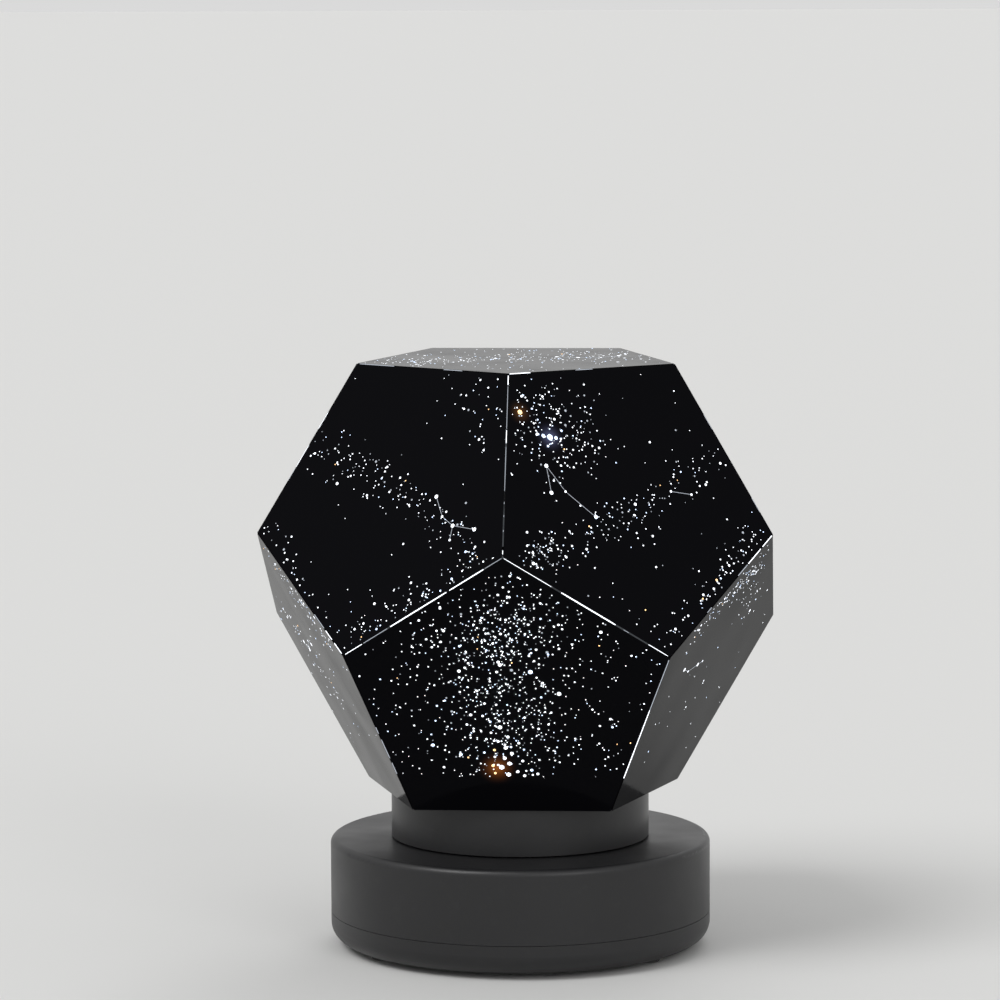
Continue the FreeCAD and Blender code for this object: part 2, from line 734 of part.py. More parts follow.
def make_base_upper_shell():
    """The cover: its wall and top, and the spigot that the turntable turns on."""
    shell = body("base_upper_shell")
    bore = f"({SPIGOT_RADIUS} - spigot_wall)"
    outline = [
        (WALL_INSIDE, BASE_SPLIT),
        ("base_radius", BASE_SPLIT),
        ("base_radius", BASE_TOP),
        (SPIGOT_RADIUS, BASE_TOP),
        (SPIGOT_RADIUS, SPIGOT_TOP),
        (bore, SPIGOT_TOP),
        (bore, TOP_UNDERSIDE),
        (WALL_INSIDE, TOP_UNDERSIDE),
    ]
    revolve(shell, outline)
    round_edges(shell, "base_top_round", BASE_TOP, rim="base_radius")
    boss_foot = f"{BOSS_TOP} + shell_joint_gap"
    into_top = f"{TOP_UNDERSIDE} + floor_thickness / 2"
    add_posts(shell, BOSS_PLACES, "boss_radius", (boss_foot, into_top))
    screw_tip = f"{BASE_FLOOR} + screw_head_depth + shell_screw_length"
    cut_holes(shell, BOSS_PLACES, "shell_screw_radius + pilot_clearance", (BOSS_TOP, f"{screw_tip} + 1"))
    lamp_boss = "lamp_screw_inset - spigot_wall / 2"
    add_posts(shell, LAMP_SCREW_PLACES, lamp_boss, (f"{SPIGOT_TOP} - lamp_screw_boss", SPIGOT_TOP))
    pilot_levels = (f"{LAMP_TOP} - lamp_screw_length - 1", f"{SPIGOT_TOP} + 1")
    cut_holes(shell, LAMP_SCREW_PLACES, "lamp_screw_radius + pilot_clearance", pilot_levels)
    add_control_panel(shell)


def add_control_panel(shell):
    """A flat recess in the back wall, with a slot for the switch and a port for the socket."""
    width = "(panel_width + 2 * panel_border)"
    low, high = f"({STEM_LEVEL} - panel_height / 2)", f"({STEM_LEVEL} + panel_height / 2)"
    into_wall = f"sqrt((base_radius - shell_wall / 2)^2 - ({width} / 2)^2)"
    levels = (f"max({low} - panel_border; {BASE_SPLIT})", f"{high} + panel_border")
    add_block(shell, middle_and_width(0, width), (PANEL_BACK, into_wall), levels)
    cut_block(shell, middle_and_width(0, "panel_width"), (PANEL_FACE, "base_radius + 1"), (low, high))
    through = (f"{PANEL_BACK} - 1", f"{PANEL_FACE} + 1")
    cut_block(shell, switch_slot(), through, middle_and_width(STEM_LEVEL, "stem_height + 2 * stem_gap"))
    port = middle_and_width("-socket_across", "socket_width + 2 * port_gap")
    cut_block(shell, port, through, (f"{BOARD_TOP} - port_gap", f"{BOARD_TOP} + socket_height + port_gap"))


def make_rubber_feet():
    feet = body("rubber_feet")
    add_posts(feet, FOOT_PLACES, "foot_radius", (0, f"{BASE_FLOOR} + foot_recess"))
    round_edges(feet, "foot_drop / 3", 0)


def make_screws(label, places, shank, head, seat, points_up):
    """Pan-head screws with a cross recess, pointing up from below or down from above."""
    screws = body(label)
    (shank_radius, shank_length), (head_radius, head_height) = shank, head
    recess = f"({head_height} / 2)"
    if points_up:
        shank_levels = (seat, f"{seat} + {shank_length}")
        head_levels = (f"{seat} - {head_height}", seat)
        recess_levels = (f"{seat} - {head_height} - 1", f"{seat} - {recess}")
    else:
        shank_levels = (f"{seat} - {shank_length}", seat)
        head_levels = (seat, f"{seat} + {head_height}")
        recess_levels = (f"{seat} + {recess}", f"{seat} + {head_height} + 1")
    add_posts(screws, places, shank_radius, shank_levels)
    add_posts(screws, places, head_radius, head_levels)
    long, short = f"1.2 * {head_radius}", f"0.24 * {head_radius}"
    low, high = recess_levels
    for wide, deep in ((long, short), (short, long)):
        outlines = [box_outline(middle_and_width(x, wide), middle_and_width(y, deep)) for x, y in places]
        pocket(screws, draw(screws, height=low, outlines=outlines), f"({high}) - ({low})")


def make_shell_screws():
    shank = ("shell_screw_radius", "shell_screw_length")
    head = ("screw_head_radius", "screw_head_height")
    seat = f"({BASE_FLOOR} + screw_head_depth)"
    make_screws("shell_screws", BOSS_PLACES, shank, head, seat, points_up=True)


# The battery bay's contents and its door


def make_battery_door():
    """A plate with a rounded hinge edge, two tongues over the shell's floor and a snap latch."""
    door = body("battery_door")
    width = f"2 * ({DOOR_SEAT_HALF} - door_gap)"
    along = (f"{DOOR_SEAT_FRONT} + door_gap", HINGE_BACK)
    add_block(door, middle_and_width(0, width), along, (DOOR_UNDER, DOOR_TOP))
    barrel = draw(door, plane="YZ_Plane", circles=[(HINGE_BACK, HINGE_HEIGHT, "door_thickness / 2")])
    pad(door, barrel, width, both_ways=True)
    into_plate = f"{DOOR_TOP} - door_thickness / 3"
    tongue_foot = f"({FLOOR_TOP} + tongue_gap)"
    tongue_top = f"({tongue_foot} + tongue_thickness)"
    root_front = f"{HINGE_BACK} - 1.5 * tongue_thickness"
    for side in (-1, 1):
        across = middle_and_width(f"{side} * tongue_across", "tongue_width")
        add_block(door, across, (root_front, f"{HINGE_BACK} - door_gap"), (into_plate, tongue_top))
        add_block(door, across, (root_front, f"{HINGE_BACK} + tongue_reach"), (tongue_foot, tongue_top))
    latch = middle_and_width(0, "latch_width")
    nib_front = f"({BAY_FRONT} + door_gap)"
    leg = (f"{nib_front} + latch_nib", f"{nib_front} + latch_nib + latch_wall")
    add_block(door, latch, leg, (into_plate, f"{DOOR_TOP} + latch_height"))
    nib = (nib_front, f"{nib_front} + latch_nib + latch_wall / 2")
    nib_levels = (f"{DOOR_TOP} + latch_height / 2", f"{DOOR_TOP} + 4 * latch_height / 5")
    add_block(door, latch, nib, nib_levels)


def cell_line(index):
    """The front-to-back place of a cell, counted from the front."""
    return f"({index - 1} * {CELL_PITCH} - bay_forward)"


def cell_side(index):
    """Which way a cell's nub points: the cells lie nose to tail."""
    return 1 if index % 2 == 0 else -1


def contact_tails():
    """The two contacts whose tails rise through the bay's roof: (side, line)."""
    return [(1, cell_line(0)), (-1, cell_line(CELLS - 1))]


def contact_edges(side, play="0"):
    """Across the bay, a contact's two faces, or its slot's with some play."""
    near = f"{side} * ({BAY_HALF} - contact_gap - contact_thickness - {play})"
    far = f"{side} * ({BAY_HALF} - contact_gap + {play})"
    return sorted([near, far], key=value)


def make_battery_cell(index):
    """An AA cell, drawn upright and laid down with its nub towards its contact."""
    cell = body(f"battery_cell_{index + 1}")
    can = "(cell_length - cell_nub_length)"
    add_posts(cell, [(0, 0)], "cell_radius", (0, can))
    round_edges(cell, "cell_nub_length / 2", 0)
    round_edges(cell, "cell_nub_length / 2", can)
    add_posts(cell, [(0, 0)], "cell_nub_radius", (can, "cell_length"))
    side = cell_side(index)
    cell.Placement.Rotation = FreeCAD.Rotation(Vector(0, 0, 1), Vector(side, 0, 0))
    foot = f"{side} * ({BAY_HALF} - contact_thickness - 2 * contact_gap - cell_length)"
    tie(cell, "Placement.Base.x", foot)
    tie(cell, "Placement.Base.y", cell_line(index))
    tie(cell, "Placement.Base.z", CELL_HEIGHT)


def make_contact_plates():
    """Four strips of sheet metal: two join neighbouring cells, and two carry the tails."""
    plates = body("contact_plates")
    levels = middle_and_width(CELL_HEIGHT, "contact_height")
    for side, first, last in ((1, 0, 0), (1, 1, 2), (-1, 0, 1), (-1, 2, 2)):
        along = (f"{cell_line(first)} - contact_width / 2", f"{cell_line(last)} + contact_width / 2")
        add_block(plates, contact_edges(side), along, levels)
    tail_foot = f"{levels[1]} - contact_thickness"
    for side, line in contact_tails():
        tail = middle_and_width(line, "contact_tail_width")
        add_block(plates, contact_edges(side), tail, (tail_foot, f"{BAY_ROOF_TOP} + contact_tail_height"))


def arc_from(begin, heading, end):
    """The arc that leaves a point along a heading and ends at another point."""
    chord = end - begin
    half_turn = heading.getAngle(chord)
    outward = heading - chord * (heading.dot(chord) / chord.dot(chord))
    middle = (begin + end) / 2 + outward.normalize() * (chord.Length / 2 * math.tan(half_turn / 2))
    return Part.Arc(begin, middle, end).toShape()


def two_arcs(begin, heading, end, end_heading):
    """Two arcs that join tangentially between two points with known headings."""
    gap = end - begin
    both = gap.dot(heading + end_heading)
    square = 2 * (1 - heading.dot(end_heading))
    reach = (math.sqrt(both * both + square * gap.dot(gap)) - both) / square
    joint = (begin + end + (heading - end_heading) * reach) / 2
    first = arc_from(begin, heading, joint)
    middle_heading = (joint - (begin + heading * reach)).normalize()
    return [first, arc_from(joint, middle_heading, end)]


def spring_path(room):
    """A cone-shaped coil that rises along Z, made of arcs."""
    foot, tip = value("spring_foot_radius"), value("spring_tip_radius")
    steps = 2 * SPRING_TURNS
    stations = []
    for step in range(steps + 1):
        angle = math.pi * step
        radius = foot + (tip - foot) * step / steps
        spot = Vector(radius * math.cos(angle), radius * math.sin(angle), room * step / steps)
        inward = Vector(math.cos(angle), math.sin(angle), 0) * ((tip - foot) / (math.pi * steps))
        round_way = Vector(-math.sin(angle), math.cos(angle), 0) * radius
        climb = Vector(0, 0, room / (math.pi * steps))
        stations.append((spot, (inward + round_way + climb).normalize()))
    edges = []
    for (begin, heading), (end, end_heading) in zip(stations, stations[1:]):
        edges.extend(two_arcs(begin, heading, end, end_heading))
    return Part.Wire(edges)


def sweep(path, radius):
    """A round wire along a path, checked against its length."""
    start = path.Edges[0]
    begin = start.valueAt(start.FirstParameter)
    heading = start.tangentAt(start.FirstParameter)
    section = Part.Wire(Part.makeCircle(radius, begin, heading))
    solid = path.makePipeShell([section], True, False)
    expected = path.Length * math.pi * radius**2
    if abs(solid.Volume - expected) > 0.02 * expected:
        raise ValueError("a wire lost some of its volume")
    return solid


def make_battery_springs():
    """A tapered coil behind each cell's flat end."""
    wire = value("spring_wire") / 2
    plate_face = value(f"{BAY_HALF} - contact_gap - contact_thickness")
    room = value("bay_spring_room - 2 * contact_gap - spring_wire")
    solids = []
    for index in range(CELLS):
        side = cell_side(index)
        foot = Vector(-side * (plate_face - value("contact_gap") - wire), value(cell_line(index)), 0)
        foot.z = value(CELL_HEIGHT)
        solid = sweep(spring_path(room), wire)
        solid.Placement = FreeCAD.Placement(foot, FreeCAD.Rotation(Vector(0, 0, 1), Vector(side, 0, 0)))
        solids.append(solid)
    add_shape("battery_springs", Part.makeCompound(solids))


# The control board


def make_circuit_board():
    board = body("circuit_board")
    add_block(board, middle_and_width(0, "board_width"), (BOARD_FRONT, BOARD_BACK), (BOARD_UNDER, BOARD_TOP))
    through = (f"{BOARD_UNDER} - 1", f"{BOARD_TOP} + 1")
    cut_holes(board, BOARD_HOLES, "board_screw_radius + hole_clearance", through)


def make_board_screws():
    shank = ("board_screw_radius", "board_screw_length")
    head = ("board_screw_head", "small_head_height")
    make_screws("board_screws", BOARD_HOLES, shank, head, BOARD_TOP, points_up=False)


def make_power_socket():
    """A small metal power socket: an open box with a contact tongue inside."""
    socket = body("power_socket")
    mouth = f"({PANEL_FACE} - socket_set_back)"
    back = f"({mouth} - socket_length)"
    top = f"({BOARD_TOP} + socket_height)"
    add_block(socket, middle_and_width("-socket_across", "socket_width"), (back, mouth), (BOARD_TOP, top))
    inside = middle_and_width("-socket_across", "socket_width - 2 * socket_wall")
    inside_levels = (f"{BOARD_TOP} + socket_wall", f"{top} - socket_wall")
    cut_block(socket, inside, (f"{back} + 2 * socket_wall", f"{mouth} + 1"), inside_levels)
    tongue = middle_and_width("-socket_across", "socket_width / 2")
    tongue_levels = middle_and_width(f"{BOARD_TOP} + socket_height / 2", "2 * socket_wall")
    add_block(socket, tongue, (f"{back} + socket_wall", f"{mouth} - 3 * socket_wall"), tongue_levels)


def switch_slot():
    return middle_and_width("switch_across", "switch_travel + stem_width + 2 * stem_gap")


def make_switch_body():
    switch = body("switch_body")
    across = middle_and_width("switch_across", "switch_width")
    levels = (BOARD_TOP, f"{BOARD_TOP} + switch_height")
    add_block(switch, across, (f"{SWITCH_BACK} - switch_depth", SWITCH_BACK), levels)
    slot_levels = middle_and_width(STEM_LEVEL, "stem_height + 2 * stem_gap")
    slot_along = (f"{SWITCH_BACK} - switch_depth / 2", f"{SWITCH_BACK} + 1")
    cut_block(switch, switch_slot(), slot_along, slot_levels)


def make_switch_knob():
    """The switch's slider, resting at the end of its travel, where the lamp is on."""
    knob = body("switch_knob")
    middle = "(switch_across + switch_travel / 2)"
    inside = f"({PANEL_FACE} + knob_gap)"
    outside = f"({inside} + knob_depth)"
    stem_along = (f"{SWITCH_BACK} - switch_depth / 2 + stem_gap", f"{inside} + knob_depth / 2")
    stem_levels = middle_and_width(STEM_LEVEL, "stem_height")
    add_block(knob, middle_and_width(middle, "stem_width"), stem_along, stem_levels)
    cap_levels = middle_and_width(STEM_LEVEL, "knob_height")
    add_block(knob, middle_and_width(middle, "knob_width"), (inside, outside), cap_levels)
    groove_along = (f"{outside} - knob_groove", f"{outside} + 1")
    groove_levels = middle_and_width(STEM_LEVEL, "knob_height + 2")
    for step in (-1, 0, 1):
        groove = middle_and_width(f"{middle} + {step} * knob_width / 4", "knob_groove")
        cut_block(knob, groove, groove_along, groove_levels)


def make_board_parts():
    """The parts on the control board: resistors, a capacitor, a chip and a wire header."""
    resistors = body("resistors")
    for step in range(3):
        front = f"{PARTS_FRONT} + {step} * resistor_pitch"
        along = (front, f"{front} + resistor_width")
        across = middle_and_width(0, "resistor_length")
        add_block(resistors, across, along, (BOARD_TOP, f"{BOARD_TOP} + resistor_height"))
    capacitor = body("capacitor")
    capacitor_top = f"({BOARD_TOP} + capacitor_height)"
    capacitor_place = ("capacitor_inset - board_width / 2", f"{PARTS_FRONT} + capacitor_radius")
    add_posts(capacitor, [capacitor_place], "capacitor_radius", (BOARD_TOP, capacitor_top))
    round_edges(capacitor, "capacitor_radius / 6", capacitor_top)
    chip = body("driver_chip")
    chip_along = (PARTS_FRONT, f"{PARTS_FRONT} + chip_width")
    chip_levels = (BOARD_TOP, f"{BOARD_TOP} + chip_height")
    add_block(chip, middle_and_width("chip_across", "chip_width"), chip_along, chip_levels)
    header = body("wire_header")
    header_width = f"{HEADER_WIRES} * header_pitch + 2 * header_end"
    header_along = (HEADER_FRONT, f"{HEADER_FRONT} + header_depth")
    add_block(header, middle_and_width(0, header_width), header_along, (BOARD_TOP, HEADER_TOP))


# The lamp


def make_lamp_plate():
    """The plate that holds the turntable down and the LEDs up, with the LED board staked under it."""
    plate = body("lamp_plate")
    boss_top = f"({LAMP_TOP} + lamp_boss_height)"
    outline = [
        (0, SPIGOT_TOP),
        (LAMP_PLATE_RADIUS, SPIGOT_TOP),
        (LAMP_PLATE_RADIUS, LAMP_TOP),
        ("lamp_boss_radius", LAMP_TOP),
        ("lamp_boss_radius", boss_top),
        (0, boss_top),
    ]
    revolve(plate, outline)
    round_edges(plate, "lamp_boss_height / 3", boss_top)
    round_edges(plate, "lamp_plate_thickness / 3", LAMP_TOP, rim=LAMP_PLATE_RADIUS)
    foot = f"{SPIGOT_TOP} - 1"
    cut_holes(plate, LED_PLACES, "led_radius + led_gap", (foot, f"{boss_top} + 1"))
    flange_seat = f"{LED_FOOT} + led_flange_height + led_gap"
    cut_holes(plate, LED_PLACES, "led_flange_radius + led_gap", (foot, flange_seat))
    cut_holes(plate, LAMP_SCREW_PLACES, "lamp_screw_radius + hole_clearance", (foot, f"{LAMP_TOP} + 1"))
    into_plate = f"{SPIGOT_TOP} + lamp_plate_thickness / 2"
    add_posts(plate, STAKE_PLACES, "stake_head_radius", (LED_BOARD_TOP, into_plate))
    head_top = f"({LED_BOARD_UNDER} - led_gap)"
    head_foot = f"({head_top} - stake_head_height)"
    add_posts(plate, STAKE_PLACES, "stake_radius", (head_foot, into_plate))
    add_posts(plate, STAKE_PLACES, "stake_head_radius", (head_foot, head_top))


def make_lamp_plate_screws():
    shank = ("lamp_screw_radius", "lamp_screw_length")
    head = ("lamp_screw_head", "small_head_height")
    make_screws("lamp_plate_screws", LAMP_SCREW_PLACES, shank, head, LAMP_TOP, points_up=False)


def make_led(label, place):
    """A round LED with a flange and a domed nose."""
    led = body(label)
    top = f"({LED_FOOT} + led_height)"
    add_posts(led, [place], "led_radius", (LED_FOOT, top))
    round_edges(led, "0.98 * led_radius", top)
    add_posts(led, [place], "led_flange_radius", (LED_FOOT, f"{LED_FOOT} + led_flange_height"))


def make_led_leads():
    leads = body("led_leads")
    places = [(f"{x} + {side} * led_lead_pitch / 2", y) for x, y in LED_PLACES for side in (-1, 1)]
    add_posts(leads, places, "led_lead_radius", (LED_BOARD_TOP, LED_FOOT))


def make_led_board():
    board = body("led_board")
    add_posts(board, [(0, 0)], "led_board_radius", (LED_BOARD_UNDER, LED_BOARD_TOP))
    through = (f"{LED_BOARD_UNDER} - 1", f"{LED_BOARD_TOP} + 1")
    cut_holes(board, STAKE_PLACES, "stake_radius + led_gap", through)


# Wires


def bent_path(points, radius):
    """Straight runs between points, joined by tangent arcs."""
    edges = []
    begin = points[0]
    for corner, after in zip(points[1:-1], points[2:]):
        arriving = (corner - begin).normalize()
        leaving = (after - corner).normalize()
        enter = corner - arriving * (radius * math.tan(arriving.getAngle(leaving) / 2))
        leave = corner + leaving * (enter - corner).Length
        edges.append(Part.LineSegment(begin, enter).toShape())
        edges.append(arc_from(enter, arriving, leave))
        begin = leave
    edges.append(Part.LineSegment(begin, points[-1]).toShape())
    return Part.Wire(edges)


def make_wires(label, routes):
    solids = []
    for route in routes:
        points = [Vector(value(x), value(y), value(z)) for x, y, z in route]
        solids.append(sweep(bent_path(points, value("wire_bend")), value("wire_radius")))
    add_shape(label, Part.makeCompound(solids))


def header_entry(number):
    """Across the header, the middle of one of its wire entries."""
    return f"({number - (HEADER_WIRES - 1) / 2} * header_pitch)"


def make_battery_wires():
    """A wire from each contact's tail, over the bay's roof and down into the header."""
    tail_top = f"({BAY_ROOF_TOP} + contact_tail_height + contact_gap)"
    crossing = f"({tail_top} + wire_rise)"
    ends = zip(("battery_wire_red", "battery_wire_black"), contact_tails(), (HEADER_WIRES - 1, 0))
    for label, (side, line), entry in ends:
        tail = f"{side} * ({BAY_HALF} - contact_gap - contact_thickness / 2)"
        across = header_entry(entry)
        route = [
            (tail, line, tail_top),
            (tail, line, crossing),
            (across, HEADER_LINE, crossing),
            (across, HEADER_LINE, HEADER_TOP),
        ]
        make_wires(label, [route])


def make_lamp_wires():
    """Four wires from the LED board, down inside the spigot to the header."""
    level = f"({TOP_UNDERSIDE} - wire_rise / 2)"
    lamp_line = "(-led_circle / 2)"
    routes = []
    for entry in range(1, HEADER_WIRES - 1):
        across = header_entry(entry)
        route = [
            (across, lamp_line, LED_BOARD_UNDER),
            (across, lamp_line, level),
            (across, HEADER_LINE, level),
            (across, HEADER_LINE, HEADER_TOP),
        ]
        routes.append(route)
    make_wires("lamp_wires", routes)


def make_base():
    make_base_lower_shell()
    make_base_upper_shell()
    make_rubber_feet()
    make_shell_screws()
    make_battery_door()
    for index in range(CELLS):
        make_battery_cell(index)
    make_contact_plates()
    make_battery_springs()
    make_circuit_board()
    make_board_screws()
    make_power_socket()
    make_switch_body()
    make_switch_knob()
    make_board_parts()


def make_lamp():
    make_lamp_plate()
    make_lamp_plate_screws()
    for label, place in zip(LED_ANGLES, LED_PLACES):
        make_led(label, place)
    make_led_leads()
    make_led_board()
    make_battery_wires()
    make_lamp_wires()


def write_pieces():
    """Checks every object, then writes each piece to its own file."""
    doc.recompute()
    for thing in doc.Objects:
        if "Invalid" in thing.State or "Error" in thing.State:
            raise ValueError(f"{thing.Label} failed: {thing.State}")
    for piece in pieces:
        shape = piece.Shape
        if shape.isNull() or not shape.isValid() or not shape.Solids:
            raise ValueError(f"{piece.Label} has no valid solid")
    os.makedirs("parts", exist_ok=True)
    for piece in pieces:
        shape = piece.Shape
        shape.exportStep(f"parts/{piece.Label}.step")
        print(f"{piece.Label}: {len(shape.Solids)} solid(s), {shape.Volume:.1f} mm3")


make_globe()
make_turntable()
make_thrust_washer()
make_base()
make_lamp()
write_pieces()
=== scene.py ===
# %% [markdown]
# # A star projector, finished around its CAD frame
# The object is a table-top planetarium. A globe of twelve flat black sheets, eleven of them
# film with thousands of clear dots, stands on a turntable over a round battery base. Lamps on
# top of the base shine through the dots and through the thin seams between the sheets.
# The frame comes first, because every later piece is placed from it and moves with it.

# %% Open the frame
import json
import math
import random

import bmesh
import bpy
from mathutils import Matrix, Vector


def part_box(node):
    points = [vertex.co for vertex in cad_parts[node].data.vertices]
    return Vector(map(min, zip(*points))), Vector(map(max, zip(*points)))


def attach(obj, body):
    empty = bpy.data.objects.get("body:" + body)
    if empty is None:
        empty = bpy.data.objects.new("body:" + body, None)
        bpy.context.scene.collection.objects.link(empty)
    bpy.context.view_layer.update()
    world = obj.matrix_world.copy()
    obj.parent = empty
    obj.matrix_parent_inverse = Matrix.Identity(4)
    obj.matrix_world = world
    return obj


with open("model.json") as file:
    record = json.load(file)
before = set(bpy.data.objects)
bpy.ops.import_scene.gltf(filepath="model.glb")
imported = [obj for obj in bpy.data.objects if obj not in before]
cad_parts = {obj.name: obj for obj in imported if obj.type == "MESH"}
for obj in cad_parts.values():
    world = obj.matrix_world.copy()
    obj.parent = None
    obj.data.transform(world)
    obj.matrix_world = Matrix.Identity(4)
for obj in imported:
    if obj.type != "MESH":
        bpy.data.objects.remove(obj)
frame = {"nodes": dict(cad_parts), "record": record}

bpy.ops.object.select_all(action="DESELECT")
print("CAD nodes:", len(frame["nodes"]))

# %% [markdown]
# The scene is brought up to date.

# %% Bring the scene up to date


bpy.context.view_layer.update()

# %% [markdown]
# Lengths in Blender are metres, while a small object is easier to think of in millimetres.
# One constant turns them round. The globe is a regular dodecahedron, so a few numbers fix
# all of it: the distance from the middle to each sheet, and the tilt of the sheets.

# %% Name the globe's own numbers
MM = 0.001
EDGE = 60 * MM
SIDES = 5
TURN = math.tau / SIDES
FACE_DISTANCE = EDGE * math.sqrt(250 + 110 * math.sqrt(5)) / 20
FACE_TILT = math.acos(1 / math.sqrt(5))
SEAM_GAP = 0.5 * MM
SHEET_APOTHEM = EDGE / (2 * math.tan(math.pi / SIDES)) - SEAM_GAP / 2
SHEET_RADIUS = SHEET_APOTHEM / math.cos(math.pi / SIDES)
FILM = 0.4 * MM
globe_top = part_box("star_panel_top")[1][2]
GLOBE_CENTRE = Vector((0, 0, globe_top - FACE_DISTANCE))
print("globe centre is", round(GLOBE_CENTRE.z / MM, 2), "mm up")

# %% [markdown]
# A point on a sheet is easiest to give as on paper, in millimetres right and up from the
# sheet's middle. This matrix takes such a point to its place on the globe. Its third column
# is the way the sheet faces, and its second runs from one corner to the side opposite. That
# is up the globe on the upper sheets, and down it on the lower ones.

# %% Find each sheet's own plane


def sheet_matrix(level, index=0):
    """The plane of one sheet's outer face, with its x and y along the sheet."""
    if level == "top":
        facing, steepest = Vector((0, 0, 1)), Vector((0, 1, 0))
    else:
        half = 0.5 if level == "upper" else 0
        azimuth = (index - 1 + half) * TURN
        rise = math.cos(FACE_TILT) * (1 if level == "upper" else -1)
        flat = math.sin(FACE_TILT)
        facing = Vector((flat * math.sin(azimuth), -flat * math.cos(azimuth), rise))
        steepest = (Vector((0, 0, 1)) - facing * facing.z).normalized()
        if level == "lower":
            steepest = -steepest
    across = steepest.cross(facing)
    turned = Matrix((across, steepest, facing)).transposed().to_4x4()
    return Matrix.Translation(GLOBE_CENTRE + facing * FACE_DISTANCE) @ turned


SHEETS = {"star_panel_top": sheet_matrix("top")}
for level in ("upper", "lower"):
    for index in range(1, SIDES + 1):
        SHEETS[f"star_panel_{level}_{index}"] = sheet_matrix(level, index)


def on_sheet(name, right, up):
    """A point on a sheet's outer face, given in millimetres."""
    return SHEETS[name] @ Vector((right * MM, up * MM, 0))


print("sheets:", len(SHEETS))

# %% [markdown]
# ## Finishes
# Each finish is a material made of nodes. An effect that several finishes share is a node
# group, built once. The two helpers below make an empty group and an empty material, so
# that each later cell only has to say what is special about its own finish.

# %% Start a node group or a material


def new_group(name, inputs, outputs):
    """An empty shader group with its sockets, and its input and output nodes."""
    group = bpy.data.node_groups.new(name, "ShaderNodeTree")
    for label, kind, start in inputs:
        socket = group.interface.new_socket(label, in_out="INPUT", socket_type=f"NodeSocket{kind}")
        socket.default_value = start
    for label, kind in outputs:
        group.interface.new_socket(label, in_out="OUTPUT", socket_type=f"NodeSocket{kind}")
    return group, group.nodes.new("NodeGroupInput"), group.nodes.new("NodeGroupOutput")


def new_material(name, colour, roughness, metallic=0.0):
    """A node material with the constant parts of its finish set on its shader."""
    material = bpy.data.materials.new(name)
    material.use_nodes = True
    shader = material.node_tree.nodes["Principled BSDF"]
    shader.inputs["Base Color"].default_value = (*colour, 1)
    shader.inputs["Roughness"].default_value = roughness
    shader.inputs["Metallic"].default_value = metallic
    return material, shader


def add_node(tree, kind, values=None, **settings):
    """One node in a tree, with its settings and its unlinked input values."""
    node = tree.nodes.new(f"ShaderNode{kind}")
    for label, setting in settings.items():
        setattr(node, label, setting)
    for label, number in (values or {}).items():
        node.inputs[label].default_value = number
    return node


def place_group(material, group, values):
    """The group in a material's tree, with this finish's own values."""
    node = material.node_tree.nodes.new("ShaderNodeGroup")
    node.node_tree = group
    for label, number in values.items():
        node.inputs[label].default_value = number
    return node


# %% [markdown]
# Every pattern needs to know where it is on the piece. Object coordinates are in metres and
# stay with the piece as it moves. Noise on them gives both the fine grain of a moulded
# skin and the broad, faint changes of gloss that handling leaves.

# %% Build the skin that all moulded and rolled surfaces share


def object_noise(tree, scale, detail=2.0):
    """Noise over the piece's own coordinates, with about this many waves in a metre."""
    place = add_node(tree, "TexCoord")
    noise = add_node(tree, "TexNoise", {"Scale": scale, "Detail": detail})
    tree.links.new(place.outputs["Object"], noise.inputs["Vector"])
    return noise.outputs["Fac"]


def spread(tree, source, low, high, start=0.35, end=0.65):
    """A value between two bounds that follows the source, as two numbers or two sockets."""
    ranged = add_node(tree, "MapRange", {"From Min": start, "From Max": end})
    tree.links.new(source, ranged.inputs["Value"])
    for label, bound in (("To Min", low), ("To Max", high)):
        if isinstance(bound, (int, float)):
            ranged.inputs[label].default_value = bound
        else:
            tree.links.new(bound, ranged.inputs[label])
    return ranged.outputs["Result"]


def maths(tree, operation, first, second):
    """One sum on two values, each a socket or a number."""
    node = add_node(tree, "Math", operation=operation)
    for socket, source in zip(node.inputs, (first, second)):
        if isinstance(source, (int, float)):
            socket.default_value = source
        else:
            tree.links.new(source, socket)
    return node.outputs[0]


def mixed(tree, factor, first, second):
    """Two colours mixed by a mask."""
    node = add_node(tree, "Mix", data_type="RGBA")
    tree.links.new(factor, node.inputs[0])
    for socket, source in ((node.inputs[6], first), (node.inputs[7], second)):
        if isinstance(source, tuple):
            socket.default_value = source
        else:
            tree.links.new(source, socket)
    return node.outputs[2]


skin, skin_in, skin_out = new_group(
    "Handled skin",
    [("Colour", "Color", (0.5, 0.5, 0.5, 1)), ("Scuff colour", "Color", (0.6, 0.6, 0.6, 1)),
     ("Least roughness", "Float", 0.3), ("Most roughness", "Float", 0.5), ("Scuffs", "Float", 0.1)],
    [("Colour", "Color"), ("Roughness", "Float"), ("Height", "Float")],
)
PATCH_WAVES, GRAIN_WAVES, SCRATCH_WAVES = 38, 2600, 240
patches = object_noise(skin, PATCH_WAVES, 3.0)
grain = object_noise(skin, GRAIN_WAVES, 1.0)
scratches = object_noise(skin, SCRATCH_WAVES, 6.0)
scratched = spread(skin, scratches, 0, 1, 0.58, 0.74)
scuff_mask = maths(skin, "MULTIPLY", scratched, skin_in.outputs["Scuffs"])
skin.links.new(
    mixed(skin, scuff_mask, skin_in.outputs["Colour"], skin_in.outputs["Scuff colour"]),
    skin_out.inputs["Colour"],
)
skin.links.new(
    spread(skin, patches, skin_in.outputs["Least roughness"], skin_in.outputs["Most roughness"]),
    skin_out.inputs["Roughness"],
)
skin.links.new(grain, skin_out.inputs["Height"])
print("group:", skin.name)

# %% [markdown]
# A finish that uses the skin is one line of values: its colour, how rough it is where it is
# smoothest and dullest, how deep the grain stands, and how scuffed it has become.

# %% Make the plain finishes


